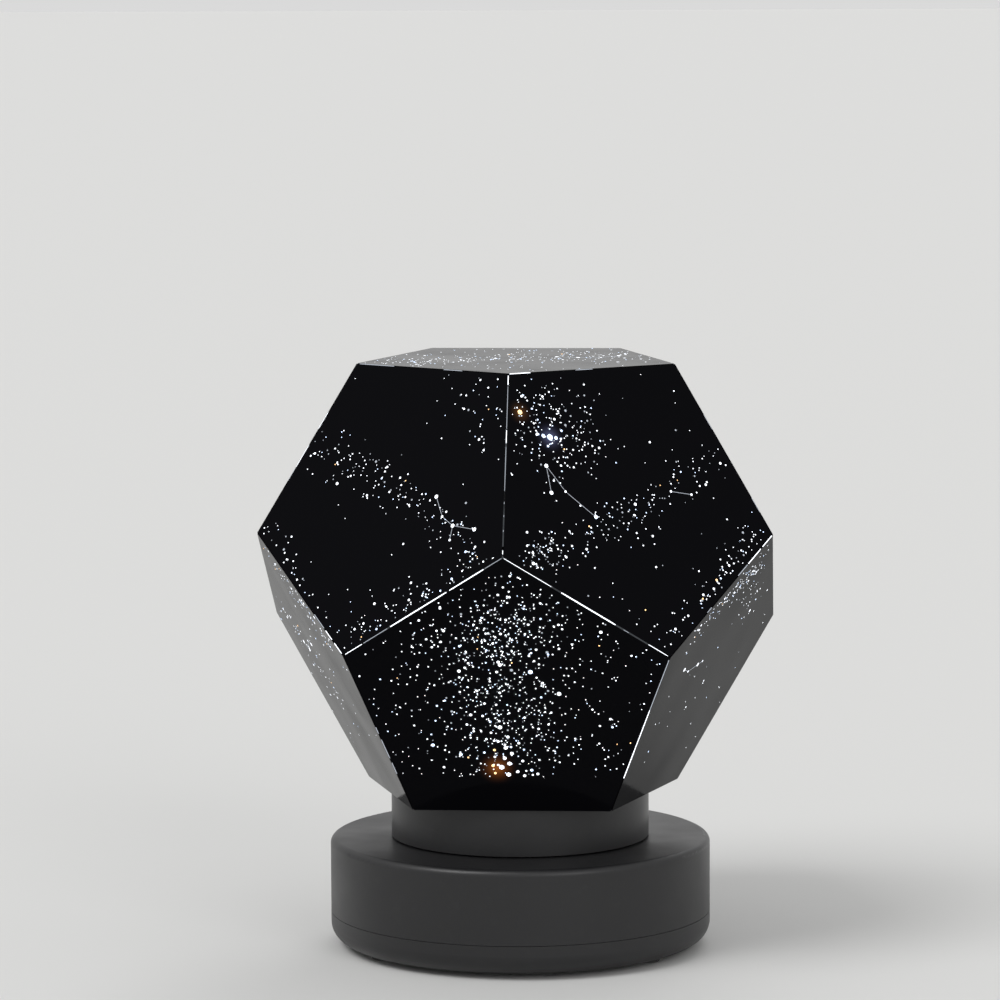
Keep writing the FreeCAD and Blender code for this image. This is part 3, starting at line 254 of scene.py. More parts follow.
def link_skin(material, shader, node, depth):
    """The skin's colour, roughness and grain, led into the shader."""
    tree = material.node_tree
    tree.links.new(node.outputs["Colour"], shader.inputs["Base Color"])
    tree.links.new(node.outputs["Roughness"], shader.inputs["Roughness"])
    bump = add_node(tree, "Bump", {"Strength": 1.0, "Distance": depth})
    tree.links.new(node.outputs["Height"], bump.inputs["Height"])
    tree.links.new(bump.outputs["Normal"], shader.inputs["Normal"])


def skinned(name, colour, rough, scuffs=0.1, depth=0.02 * MM, metallic=0.0):
    """A finish with the shared skin: colour, least and most roughness, scuffs and grain."""
    material, shader = new_material(name, colour, rough[0], metallic)
    lighter = tuple(min(1, 0.06 + 1.5 * part) for part in colour)
    node = place_group(material, skin, {
        "Colour": (*colour, 1), "Scuff colour": (*lighter, 1),
        "Least roughness": rough[0], "Most roughness": rough[1], "Scuffs": scuffs,
    })
    link_skin(material, shader, node, depth)
    return material


FINISHES = {
    "base_plastic": skinned("Satin black ABS", (0.011, 0.011, 0.012), (0.36, 0.46), 0.05),
    "plate_plastic": skinned("Matt black polystyrene", (0.02, 0.02, 0.022), (0.5, 0.62), 0.2),
    "knob_plastic": skinned("Charcoal acetal", (0.05, 0.05, 0.055), (0.3, 0.4), 0.3),
    "washer_plastic": skinned("Natural nylon", (0.8, 0.8, 0.78), (0.3, 0.42), 0.1),
    "foot_rubber": skinned("Foot rubber", (0.03, 0.03, 0.03), (0.75, 0.9), 0.5, 0.04 * MM),
    "screw_steel": skinned(
        "Zinc-plated steel", (0.55, 0.55, 0.56), (0.22, 0.4), 0.4, 0.01 * MM, metallic=1.0,
    ),
    "contact_metal": skinned(
        "Nickel plate", (0.7, 0.69, 0.66), (0.16, 0.3), 0.3, 0.005 * MM, metallic=1.0,
    ),
    "part_plastic": skinned("Moulded epoxy", (0.04, 0.04, 0.045), (0.4, 0.55), 0.1),
    "wire_red": skinned("Red wire insulation", (0.5, 0.03, 0.02), (0.3, 0.42), 0.1),
    "wire_black": skinned("Black wire insulation", (0.02, 0.02, 0.02), (0.3, 0.42), 0.1),
}
print("plain finishes:", len(FINISHES))

# %% [markdown]
# Lamps close behind the film make it glow faintly in a few places. Such a glow is a soft ball
# of light round a point, so a group takes the point, the ball's radius and its colour. The
# same group later lights the lenses of the LEDs.

# %% Build the glow of a lamp behind the film
glow, glow_in, glow_out = new_group(
    "Lamp glow",
    [("Centre", "Vector", (0, 0, 0)), ("Radius", "Float", 0.01), ("Colour", "Color", (1, 1, 1, 1))],
    [("Colour", "Color")],
)
place = add_node(glow, "TexCoord")
reach = add_node(glow, "VectorMath", operation="DISTANCE")
glow.links.new(place.outputs["Object"], reach.inputs[0])
glow.links.new(glow_in.outputs["Centre"], reach.inputs[1])
share = maths(glow, "DIVIDE", reach.outputs["Value"], glow_in.outputs["Radius"])
nearness = maths(glow, "MAXIMUM", maths(glow, "SUBTRACT", 1.0, share), 0.0)
soft = maths(glow, "POWER", nearness, 3.0)
glow.links.new(
    mixed(glow, soft, (0, 0, 0, 1), glow_in.outputs["Colour"]),
    glow_out.inputs["Colour"],
)
print("group:", glow.name)

# %% [markdown]
# The film is the heart of the look: thin, smooth and almost black. A thin sheet is never quite
# flat, so long, low waves bend what it mirrors, and fingers leave duller patches. A low index
# keeps it deep black from most sides. Its three glows lie where the lamps show through: low
# on the front sheet, and high on the one to its upper right.

# %% Make the film
FILM_WAVES = 22
film, film_shader = new_material("Black star film", (0.003, 0.003, 0.004), 0.07)
film_shader.inputs["IOR"].default_value = 1.09
film_tree = film.node_tree
waves = object_noise(film_tree, FILM_WAVES, 1.0)
film_bump = add_node(film_tree, "Bump", {"Strength": 1.0, "Distance": 0.5 * MM})
film_tree.links.new(waves, film_bump.inputs["Height"])
film_tree.links.new(film_bump.outputs["Normal"], film_shader.inputs["Normal"])
smudges = object_noise(film_tree, 60, 4.0)
film_tree.links.new(spread(film_tree, smudges, 0.05, 0.16), film_shader.inputs["Roughness"])
GLOWS = [
    ("star_panel_lower_1", 4, 25, 7, (0.5, 0.14, 0.02, 1)),
    ("star_panel_upper_1", -21.4, 20.4, 6, (0.2, 0.22, 0.42, 1)),
    ("star_panel_upper_1", -29.5, 28.9, 5, (0.2, 0.08, 0.02, 1)),
]
glow_sum = None
for sheet, right, up, radius, tint in GLOWS:
    middle = on_sheet(sheet, right, up)
    ball = place_group(film, glow, {"Centre": middle, "Radius": radius * MM, "Colour": tint})
    if glow_sum:
        adding = add_node(film_tree, "Mix", {0: 1.0}, data_type="RGBA", blend_type="ADD")
        film_tree.links.new(glow_sum, adding.inputs[6])
        film_tree.links.new(ball.outputs["Colour"], adding.inputs[7])
        glow_sum = adding.outputs[2]
    else:
        glow_sum = ball.outputs["Colour"]
film_tree.links.new(glow_sum, film_shader.inputs["Emission Color"])
film_shader.inputs["Emission Strength"].default_value = 0.6
FINISHES["film"] = film
print("film glows:", len(GLOWS))

# %% [markdown]
# Clear strips join the sheets from inside. Lamp light gets into them here and there, so
# noise makes some lengths of a strip faintly bright and leaves others dark.

# %% Make the seam strips
strip, strip_shader = new_material("Clear strip in shade", (0.04, 0.04, 0.042), 0.2)
strip_tree = strip.node_tree
LIT_WAVES, DULL_WAVES = 70, 90
lit_lengths = spread(strip_tree, object_noise(strip_tree, LIT_WAVES, 2.0), 0.0, 1.0, 0.44, 0.6)
strip_tree.links.new(
    mixed(strip_tree, lit_lengths, (0.0, 0.0, 0.0, 1), (0.05, 0.055, 0.06, 1)),
    strip_shader.inputs["Emission Color"],
)
dullness = spread(strip_tree, object_noise(strip_tree, DULL_WAVES, 2.0), 0.14, 0.3)
strip_tree.links.new(dullness, strip_shader.inputs["Roughness"])
strip_shader.inputs["Emission Strength"].default_value = 1.0
FINISHES["clear_strip"] = strip
print("material:", strip.name)

# %% [markdown]
# A printed circuit board is green lacquer over glass cloth. The cloth shows as a very fine
# weave, and copper tracks under the lacquer as paler lines. A brick pattern gives the
# tracks, because they too run straight and turn square.

# %% Make the board laminate
laminate, laminate_shader = new_material("Green board laminate", (0.02, 0.13, 0.06), 0.3)
laminate_tree = laminate.node_tree
board_place = add_node(laminate_tree, "TexCoord")
BLACK, WHITE = (0, 0, 0, 1), (1, 1, 1, 1)
tracks = add_node(laminate_tree, "TexBrick", {
    "Scale": 90.0, "Color1": BLACK, "Color2": BLACK, "Mortar": WHITE, "Mortar Size": 0.035,
})
laminate_tree.links.new(board_place.outputs["Object"], tracks.inputs["Vector"])
laminate_tree.links.new(
    mixed(laminate_tree, tracks.outputs["Color"], (0.02, 0.13, 0.06, 1), (0.06, 0.27, 0.12, 1)),
    laminate_shader.inputs["Base Color"],
)
weave = add_node(laminate_tree, "TexChecker", {"Scale": 1600.0})
laminate_tree.links.new(board_place.outputs["Object"], weave.inputs["Vector"])
weave_bump = add_node(laminate_tree, "Bump", {"Strength": 0.5, "Distance": 0.01 * MM})
laminate_tree.links.new(weave.outputs["Fac"], weave_bump.inputs["Height"])
laminate_tree.links.new(weave_bump.outputs["Normal"], laminate_shader.inputs["Normal"])
FINISHES["board_laminate"] = laminate
print("material:", laminate.name)

# %% [markdown]
# A dry cell is a steel can in a printed sleeve. The three cells lie along X, so the sleeve's
# bands follow that coordinate alone: bare steel and a pale band at both ends, and a
# slate-blue body. The capacitor has a sleeve too, with a bare top and a pale ring low down.

# %% Make the sleeves of the cells and the capacitor


def sleeve(name, body_colour, bands, axis):
    """A glossy printed sleeve with bands at these places, in metres along one axis."""
    material, shader = new_material(name, body_colour, 0.28)
    tree = material.node_tree
    where = add_node(tree, "TexCoord")
    parts = add_node(tree, "SeparateXYZ")
    tree.links.new(where.outputs["Object"], parts.inputs[0])
    colour = (*body_colour, 1)
    metal = 0.0
    for low, high, tint, is_metal in bands:
        above = maths(tree, "GREATER_THAN", parts.outputs[axis], low)
        below = maths(tree, "LESS_THAN", parts.outputs[axis], high)
        inside = maths(tree, "MULTIPLY", above, below)
        colour = mixed(tree, inside, colour, (*tint, 1))
        if is_metal:
            metal = maths(tree, "MAXIMUM", metal, inside)
    tree.links.new(colour, shader.inputs["Base Color"])
    if metal:
        tree.links.new(metal, shader.inputs["Metallic"])
    handled = spread(tree, object_noise(tree, 120, 3.0), 0.2, 0.34)
    tree.links.new(handled, shader.inputs["Roughness"])
    return material


STEEL = (0.6, 0.6, 0.6)
PALE_BAND = (0.75, 0.76, 0.78)
CELL_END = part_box("battery_cell_1")[1][0]
BARE_END = 2.5 * MM
BAND_NEAR, BAND_FAR = 10 * MM, 13 * MM
FINISHES["cell_can"] = sleeve("Printed cell sleeve", (0.05, 0.09, 0.2), [
    (CELL_END - BARE_END, 1, STEEL, True), (-1, -CELL_END + BARE_END, STEEL, True),
    (CELL_END - BAND_FAR, CELL_END - BAND_NEAR, PALE_BAND, False),
    (-CELL_END + BAND_NEAR, -CELL_END + BAND_FAR, PALE_BAND, False),
], "X")
can_low, can_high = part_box("capacitor")
FINISHES["capacitor_can"] = sleeve("Capacitor sleeve", (0.03, 0.04, 0.08), [
    (can_high[2] - 0.4 * MM, 1, STEEL, True),
    (can_low[2] + 1.4 * MM, can_low[2] + 2 * MM, (0.6, 0.62, 0.66), False),
], "Z")
print("sleeves: cell and capacitor")

# %% [markdown]
# An LED is a clear epoxy dome over a lit chip. Part of its light passes through as in
# glass, and part is caught in the epoxy, which shines in the chip's colour, most of all
# near the chip. The glow group gives that light, with its middle at the chip.

# %% Make the lit lenses
CHIP_RISE = 4.4 * MM
LENS_GLOW = 8.5 * MM


def lit_lens(name, node, tint):
    """Clear epoxy over a lit chip of this colour, for one lamp."""
    material, shader = new_material(name, (0.96, 0.97, 1.0), 0.05)
    tree = material.node_tree
    shader.inputs["Transmission Weight"].default_value = 0.7
    shader.inputs["IOR"].default_value = 1.5
    polish = spread(tree, object_noise(tree, 300, 2.0), 0.03, 0.09)
    tree.links.new(polish, shader.inputs["Roughness"])
    low, high = (Vector(corner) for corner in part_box(node))
    chip = Vector(((low.x + high.x) / 2, (low.y + high.y) / 2, low.z + CHIP_RISE))
    ball = place_group(material, glow, {"Centre": chip, "Radius": LENS_GLOW, "Colour": (*tint, 1)})
    tree.links.new(ball.outputs["Colour"], shader.inputs["Emission Color"])
    shader.inputs["Emission Strength"].default_value = 0.9
    return material


LAMP_TINTS = {
    "led_white": (1.0, 0.97, 0.9),
    "led_warm": (1.0, 0.55, 0.2),
    "led_blue": (0.35, 0.55, 1.0),
}
LENSES = {node: lit_lens("Lit lens " + node, node, tint) for node, tint in LAMP_TINTS.items()}
print("lenses:", len(LENSES))

# %% [markdown]
# A star only shines, the same all over, so its finish is a colour and a strength.

# %% Make the star lights


def light_source(name, colour, strength):
    """A finish that only shines, the same all over."""
    material, shader = new_material(name, (0.02, 0.02, 0.02), 0.4)
    shader.inputs["Emission Color"].default_value = (*colour, 1)
    shader.inputs["Emission Strength"].default_value = strength
    return material


STAR_LIGHT = [
    light_source("White star light", (0.9, 0.94, 1.0), 2.2),
    light_source("Blue-white star light", (0.62, 0.76, 1.0), 2.6),
    light_source("Warm star light", (1.0, 0.62, 0.28), 2.6),
    light_source("Faint star light", (0.72, 0.78, 0.88), 0.7),
]
print("star lights:", len(STAR_LIGHT))

# %% [markdown]
# The record says which finish each CAD node has. Each node's mesh keeps its shape and only
# gets its material, so a loop over the record is enough, and no node can be forgotten.

# %% Give each CAD node its finish
for part in frame["record"]["subparts"]:
    node = frame["nodes"][part["node"]]
    node.data.materials.clear()
    node.data.materials.append(LENSES.get(part["node"]) or FINISHES[part["material_slot"]])

# %% [markdown]
# ## The printed sky
# A clear dot goes right through the film, so it is modelled as a short six-sided plug that
# stands a hair proud on both sides. One plug is made with a primitive and copied for every
# star. Thousands of separate objects would be slow, so each sheet's stars share a mesh.

# %% Model one star plug and one line
bpy.ops.mesh.primitive_cylinder_add(vertices=6, radius=1, depth=1, end_fill_type="NGON")
star_seed = bpy.context.object
bpy.ops.mesh.primitive_cube_add(size=1)
line_seed = bpy.context.object
bpy.ops.object.mode_set(mode="EDIT")
bpy.ops.mesh.select_all(action="SELECT")
bpy.ops.mesh.bevel(offset=0.12, segments=1, affect="EDGES")
bpy.ops.object.mode_set(mode="OBJECT")


def copies_in_one(name, placed):
    """One object that holds a copy of a seed at each place, with its own finish number."""
    points, faces, numbers = [], [], []
    for seed, place, number in placed:
        start = len(points)
        points.extend(place @ vertex.co for vertex in seed.data.vertices)
        faces.extend([start + i for i in face.vertices] for face in seed.data.polygons)
        numbers.extend([number] * len(seed.data.polygons))
    mesh = bpy.data.meshes.new(name)
    mesh.from_pydata(points, [], faces)
    mesh.polygons.foreach_set("material_index", numbers)
    mesh.update()
    made = bpy.data.objects.new(name, mesh)
    bpy.context.scene.collection.objects.link(made)
    return made


print("seed faces:", len(star_seed.data.polygons), len(line_seed.data.polygons))

# %% [markdown]
# Stars crowd along bands, as in the Milky Way, and thin out between them. A band is a line of
# points with a half-width. Each star is drawn from a band or from the even background, and
# is kept if it falls inside the sheet. Most are small, the smallest are faint, and a few
# are large.

# %% Scatter stars over a sheet
MARGIN = 1.3 * MM
PROUD = 0.03 * MM
LARGE_CHANCE = 0.012
LEAST_RADIUS, MOST_RADIUS = 0.13, 0.4
THINNING = 14
FAINT_RADIUS = 0.135 * MM
WHITE_LIGHT, BLUE_LIGHT, WARM_LIGHT, FAINT_LIGHT = range(4)


def on_paper(right, up, margin=MARGIN):
    """Whether a point in metres lies inside the sheet's five sides."""
    for side in range(SIDES):
        angle = (side + 0.5) * TURN
        if right * math.sin(angle) - up * math.cos(angle) > SHEET_APOTHEM - margin:
            return False
    return True


def along(points, share):
    """The point that far along a line of points, where 1 is its end."""
    step = min(int(share * (len(points) - 1)), len(points) - 2)
    within = share * (len(points) - 1) - step
    return [a + (b - a) * within for a, b in zip(points[step], points[step + 1])]


def star_size(sky):
    """A radius in metres: nearly all small, one in eighty large."""
    if sky.random() < LARGE_CHANCE:
        return sky.uniform(0.38, 0.56) * MM
    return min(LEAST_RADIUS + sky.expovariate(THINNING), MOST_RADIUS) * MM


def star_number(sky, radius):
    """Which star light a star of this size has."""
    if radius < FAINT_RADIUS:
        return FAINT_LIGHT
    lights = [WHITE_LIGHT, BLUE_LIGHT, WARM_LIGHT, FAINT_LIGHT]
    return sky.choices(lights, [0.66, 0.14, 0.012, 0.18])[0]


def scatter(sky, count, bands, background, lowest):
    """Star centres, radii and lights over one sheet, as (right, up, radius, light)."""
    stars = []
    weights = [background] + [weight for _, _, weight in bands]
    while len(stars) < count:
        pick = sky.choices(range(len(weights)), weights)[0]
        if pick == 0:
            right, up = (sky.uniform(-SHEET_RADIUS, SHEET_RADIUS) for _ in range(2))
        else:
            points, half_width, _ = bands[pick - 1]
            middle = along(points, sky.random())
            right, up = (sky.gauss(value, half_width) * MM for value in middle)
        if on_paper(right, up) and up < lowest:
            radius = star_size(sky)
            stars.append((right, up, radius, star_number(sky, radius)))
    return stars


# %% [markdown]
# Seen from the front, three sheets carry the sky. The lower one is dense, most of all down
# its middle. The upper right one has a cloud in its upper half and two bands that cross
# below it, and the upper left one is sparser, with a band on each side. Each band is a few
# points in millimetres. The sheets behind take bands from the same random sky. The foot of
# each lower sheet stands behind the collar, so no light reaches it from the lamps.

# %% Draw the bands of the sky
COLLAR_SHADE = 28.6 * MM
SKY = {
    "star_panel_lower_1": (1180, 0.5, [
        ([(1, -46), (3, -20), (3, 4), (1, 28)], 11, 0.55), ([(24, -22), (-24, -25)], 6, 0.07),
    ]),
    "star_panel_upper_1": (640, 0.13, [
        ([(-34, 26), (-22, 24), (-8, 20)], 8, 0.36),
        ([(41, 12), (3, -5), (-28, -13), (-41, -19)], 3.4, 0.33),
        ([(46, -14), (34, -23), (16, -34), (-3, -48)], 3.4, 0.18),
    ]),
    "star_panel_upper_5": (390, 0.12, [
        ([(-36, 13), (3, 1), (40, -17)], 3.4, 0.28), ([(41, -17), (20, -34), (0, -49)], 3.8, 0.32),
        ([(-46, -14), (-30, -30), (-5, -46)], 3.0, 0.16), ([(16, 38), (36, 20)], 6, 0.12),
    ]),
    "star_panel_top": (400, 0.5, [([(-38, -14), (0, 2), (38, 20)], 9, 0.5)]),
    "star_panel_lower_2": (230, 0.25, [
        ([(38, -20), (16, -32), (-3, -42)], 3, 0.5), ([(8, -36), (-20, -22)], 5, 0.25),
    ]),
    "star_panel_lower_5": (200, 0.3, [
        ([(-36, -16), (-20, -30), (0, -42)], 3, 0.4), ([(30, -24), (4, 10)], 5, 0.3),
    ]),
}
OTHER_STARS, OTHER_BACKGROUND = 440, 0.28


def random_bands(sky):
    """Two bands that cross a sheet in random ways."""
    bands = []
    for _ in range(2):
        angle = sky.uniform(0, math.tau)
        across = angle + sky.uniform(2.3, 3.6)
        start, end = ((44 * math.cos(a), 44 * math.sin(a)) for a in (angle, across))
        middle = (sky.uniform(-10, 10), sky.uniform(-10, 10))
        bands.append(([start, middle, end], sky.uniform(3.5, 7), 0.36))
    return bands


for name in SHEETS:
    if name not in SKY:
        SKY[name] = (OTHER_STARS, OTHER_BACKGROUND, random_bands(random.Random(name)))
print("stars in all:", sum(count for count, _, _ in SKY.values()))

# %% [markdown]
# A few bright stars are joined by thin lines, as on any star chart. The figures here are
# made up: a bent line of four or five stars. A handful of large dots low on the front sheet
# and high on the right one are lit straight from the lamps behind them.

# %% Draw the joined figures and the lamp-lit dots
FIGURES = {
    "star_panel_upper_5": [
        [(17, 1), (21.5, -5), (26.5, -7.5), (35, -8)], [(26.5, -7.5), (27, -12)],
    ],
    "star_panel_upper_1": [
        [(-26, 3), (-25.3, 11.5), (-21, 3), (-13, -5.5)], [(16, 0.5), (23, -1)],
    ],
}
BRIGHT = {
    "star_panel_lower_1": [
        (14.2, -10.5, 0.55, 0), (2, -12.8, 0.6, 0), (-7, -10.3, 0.75, 1), (-15.3, -2.4, 0.7, 0),
        (23, 16.7, 0.56, 1), (2.7, 10, 0.72, 0), (5.4, 12, 0.4, 0), (0.4, 13.5, 0.5, 0),
        (3.4, 15.2, 0.46, 0), (-2.8, 15.8, 0.44, 0), (1.2, 17.6, 0.62, 0), (4.6, 18.4, 0.42, 2),
        (-0.6, 19.6, 0.56, 0), (1.6, 21.4, 0.6, 0), (-3.8, 22.4, 0.46, 0), (0.2, 23.4, 0.7, 0),
        (5.2, 24.2, 0.5, 2), (2.6, 24.8, 0.84, 0), (-2.2, 26.4, 0.5, 0), (4.6, 27, 0.42, 2),
        (0.6, 27.5, 0.76, 0), (-6.4, 25.8, 0.5, 1), (-8.2, 27.2, 0.46, 0), (-4.2, 27.9, 0.5, 0),
    ],
    "star_panel_upper_1": [
        (-21.4, 20.4, 1.0, 1), (-23.6, 21.0, 0.6, 1), (-19.4, 20.0, 0.6, 1), (-17.8, 19.6, 0.36, 1),
        (-25.2, 21.6, 0.36, 1), (-29.5, 28.9, 0.8, 2), (-12.8, -5.6, 0.66, 1),
    ],
}


def random_figure(sky):
    """A bent line of four stars in the middle of a sheet."""
    place = [sky.uniform(-22, 16), sky.uniform(-20, 20)]
    figure = [tuple(place)]
    for _ in range(3):
        place = [place[0] + sky.uniform(3, 8), place[1] + sky.uniform(-7, 7)]
        figure.append(tuple(place))
    return figure


for name in SHEETS:
    if name not in FIGURES and name != "star_panel_lower_1":
        FIGURES[name] = [random_figure(random.Random(name + "_figure"))]
print("figures:", sum(len(lines) for lines in FIGURES.values()))

# %% [markdown]
# A plug is as long as the film is thick, so its middle lies half that far below the outer
# face. A line's plug is turned to point from one star to the next.

# %% Make the stars of every sheet
DEPTH = FILM + 2 * PROUD
LINE_WIDTH = 0.16 * MM


def plug_place(right, up, radius):
    """Where a star's plug goes on its sheet, and how large it is."""
    size = Matrix.Diagonal((radius, radius, DEPTH, 1))
    return Matrix.Translation((right, up, -FILM / 2)) @ size


def line_place(start, end):
    """Where a line's plug goes between two stars, in metres."""
    way = Vector(end) - Vector(start)
    middle = (Vector(start) + Vector(end)) / 2
    turned = Matrix.Rotation(math.atan2(way.y, way.x), 4, "Z")
    size = Matrix.Diagonal((way.length, LINE_WIDTH, DEPTH, 1))
    return Matrix.Translation((*middle, -FILM / 2)) @ turned @ size


def sheet_stars(name):
    """All that is printed clear on one sheet, as one piece."""
    sky = random.Random(name + "_stars")
    count, background, bands = SKY[name]
    placed = []
    lowest = COLLAR_SHADE if "lower" in name else 1
    for right, up, radius, light in scatter(sky, count, bands, background, lowest):
        placed.append((star_seed, plug_place(right, up, radius), light))
    for right, up, radius, light in BRIGHT.get(name, []):
        placed.append((star_seed, plug_place(right * MM, up * MM, radius * MM), light))
    for line in FIGURES.get(name, []):
        points = [(right * MM, up * MM) for right, up in line]
        pairs = zip(points, points[1:])
        placed.extend((line_seed, line_place(*pair), FAINT_LIGHT) for pair in pairs)
        for point in points:
            radius = sky.choice([0.4, 0.66]) * MM
            placed.append((star_seed, plug_place(*point, radius), WHITE_LIGHT))
    matrix = SHEETS[name]
    return copies_in_one(
        name.replace("star_panel", "clear_stars"),
        [(seed, matrix @ place, light) for seed, place, light in placed],
    )


for name in SHEETS:
    stars = sheet_stars(name)
    for material in STAR_LIGHT:
        stars.data.materials.append(material)
    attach(stars, "globe")
print("star pieces:", len(SHEETS))

# %% [markdown]
# Light leaks out along the seams as thin white lines: bold where two sheets stand apart,
# hair-thin or broken where they meet. A bar of light lies in the gap, just under the
# corner that the sheets would share. The front seams have bars of their own. Each is given
# by where it starts and ends on its edge, from 0 to 1, its width in millimetres and the
# number of its light. The other seams get a few short bars at random.

# %% Lay the light in the seams
CORNER_RADIUS = EDGE / (2 * math.sin(math.pi / SIDES))
BAR_DEPTH = 0.26 * MM
BAR_HEIGHT = 0.3 * MM
FRONT_SEAMS = {
    ("star_panel_lower_1", 0, 1): [
        (0.01, 0.11, 0.12, 3), (0.12, 0.33, 0.28, 0), (0.35, 0.7, 0.3, 0), (0.72, 0.87, 0.14, 3),
        (0.88, 0.985, 0.18, 0),
    ],
    ("star_panel_lower_1", 0, 4): [
        (0.01, 0.29, 0.14, 0), (0.35, 0.67, 0.34, 0), (0.72, 0.75, 0.12, 3), (0.87, 0.985, 0.16, 0),
    ],
    ("star_panel_lower_1", 4, 3): [
        (0.02, 0.34, 0.16, 3), (0.34, 0.58, 0.2, 0), (0.58, 0.78, 0.3, 0),
    ],
    ("star_panel_lower_1", 1, 2): [
        (0.46, 0.5, 0.2, 3), (0.54, 0.66, 0.16, 3), (0.69, 0.76, 0.2, 3),
    ],
    ("star_panel_upper_1", 3, 4): [
        (0.01, 0.06, 0.24, 0), (0.07, 0.3, 0.12, 3), (0.31, 0.38, 0.18, 0), (0.4, 0.64, 0.12, 3),
        (0.7, 0.71, 0.12, 3), (0.77, 0.78, 0.12, 3), (0.85, 0.86, 0.12, 3), (0.96, 0.98, 0.16, 0),
    ],
    ("star_panel_upper_1", 1, 0): [
        (0.01, 0.1, 0.26, 0), (0.12, 0.24, 0.3, 0), (0.25, 0.34, 0.2, 3), (0.6, 0.64, 0.16, 3),
    ],
    ("star_panel_upper_1", 3, 2): [(0.01, 0.13, 0.38, 0), (0.4, 0.5, 0.16, 3)],
    ("star_panel_upper_5", 0, 4): [
        (0.02, 0.1, 0.22, 0), (0.13, 0.2, 0.2, 0), (0.22, 0.33, 0.16, 3),
    ],
    ("star_panel_upper_5", 2, 3): [(0.3, 0.42, 0.16, 3), (0.75, 0.98, 0.2, 3)],
}


def sheet_corner(name, number):
    """One corner that a sheet would have without its gap, counted as on its outline."""
    angle = number * TURN
    return SHEETS[name] @ (CORNER_RADIUS * Vector((math.sin(angle), -math.cos(angle), 0)))


def bar_place(start, end, width):
    """Where a bar of light lies between two points of an edge."""
    along_edge = (end - start).normalized()
    middle = (start + end) / 2
    outwards = middle - GLOBE_CENTRE
    outwards = (outwards - along_edge * outwards.dot(along_edge)).normalized()
    turned = Matrix((along_edge, outwards.cross(along_edge), outwards)).transposed().to_4x4()
    size = Matrix.Diagonal(((end - start).length, width, BAR_HEIGHT, 1))
    return Matrix.Translation(middle - outwards * BAR_DEPTH) @ turned @ size


def middle_key(a, b):
    """A name for an edge that is the same from both of its sheets."""
    return tuple(round(value, 3) for value in (a + b) / 2)


bars, done = [], set()
for (name, first, second), lights in FRONT_SEAMS.items():
    a, b = sheet_corner(name, first), sheet_corner(name, second)
    done.add(middle_key(a, b))
    for start, end, width, light in lights:
        bars.append((line_seed, bar_place(a.lerp(b, start), a.lerp(b, end), width * MM), light))
chance = random.Random("seams")
for name in SHEETS:
    for first in range(SIDES):
        a, b = sheet_corner(name, first), sheet_corner(name, (first + 1) % SIDES)
        at_foot = "lower" in name and first == 2
        if at_foot or middle_key(a, b) in done:
            continue
        done.add(middle_key(a, b))
        for _ in range(chance.randint(2, 4)):
            start = chance.uniform(0.02, 0.66)
            end = start + chance.uniform(0.03, 0.1)
            spot = bar_place(a.lerp(b, start), a.lerp(b, end), chance.uniform(0.14, 0.24) * MM)
            light = chance.choice([WHITE_LIGHT, FAINT_LIGHT, FAINT_LIGHT])
            bars.append((line_seed, spot, light))
seam_light = copies_in_one("seam_light", bars)
for material in STAR_LIGHT:
    seam_light.data.materials.append(material)
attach(seam_light, "globe")
for seed in (star_seed, line_seed):
    bpy.data.objects.remove(seed)
print("bars of light:", len(bars), "on edges:", len(done))

# %% [markdown]
# ## The lamps
# Inside each lens a plated post carries a small cup with the chip in it. All three are one
# shape: a cylinder whose top face is inset and pushed down for the cup, then inset and
# pulled up again for the chip. The same steps model it for each of the three lamps.

# %% Model a lamp's post, cup and chip
POST_FOOT, POST_HEIGHT, POST_RADIUS = 1.2 * MM, 3.4 * MM, 0.95 * MM
CUP_WALL, CUP_DEPTH, CUP_FLOOR, CHIP_HEIGHT = 0.12 * MM, 0.45 * MM, 0.3 * MM, 0.16 * MM


def top_face(mesh):
    """Selects only the highest flat face of the mesh in edit mode."""
    mesh.faces.ensure_lookup_table()
    highest = max(mesh.faces, key=lambda face: (face.normal.z > 0.9, face.calc_center_median().z))
    for face in mesh.faces:
        face.select_set(face is highest)
    bmesh.update_edit_mesh(bpy.context.object.data)


def lamp_inside(node):
    """The post with its cup, and the chip, under one lens."""
    low, high = (Vector(corner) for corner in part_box(node))
    middle = (low + high) / 2
    foot = low.z + POST_FOOT
    rim = foot + POST_HEIGHT
    bpy.ops.mesh.primitive_cylinder_add(
        vertices=24, radius=POST_RADIUS, depth=rim - foot,
        location=(middle.x, middle.y, (foot + rim) / 2),
    )
    post = bpy.context.object
    post.name = node + "_cup"
    bpy.ops.object.transform_apply(location=True, rotation=False, scale=False)
    bpy.ops.object.mode_set(mode="EDIT")
    mesh = bmesh.from_edit_mesh(post.data)
    top_face(mesh)
    bpy.ops.mesh.inset(thickness=CUP_WALL)
    bpy.ops.transform.translate(value=(0, 0, -CUP_DEPTH))
    bpy.ops.mesh.inset(thickness=CUP_FLOOR)
    bpy.ops.mesh.extrude_region_move(TRANSFORM_OT_translate={"value": (0, 0, CHIP_HEIGHT)})
    bpy.ops.object.mode_set(mode="OBJECT")
    post.data.materials.append(FINISHES["contact_metal"])
    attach(post, "base")
    return post


for node in LAMP_TINTS:
    print(lamp_inside(node).name)

# %% [markdown]
# ## Printed marks
# The switch is marked ON and OFF below the two ends of its travel. Text is turned into a mesh
# before it is put in its place. It is printed, so it stands only a few hundredths of a
# millimetre proud.

# %% Print the marks at the switch
INK = skinned("White marking ink", (0.78, 0.78, 0.78), (0.5, 0.65), 0.05, 0.003 * MM)
FACING_BACK = Matrix(((-1, 0, 0, 0), (0, 0, 1, 0), (0, 1, 0, 0), (0, 0, 0, 1)))


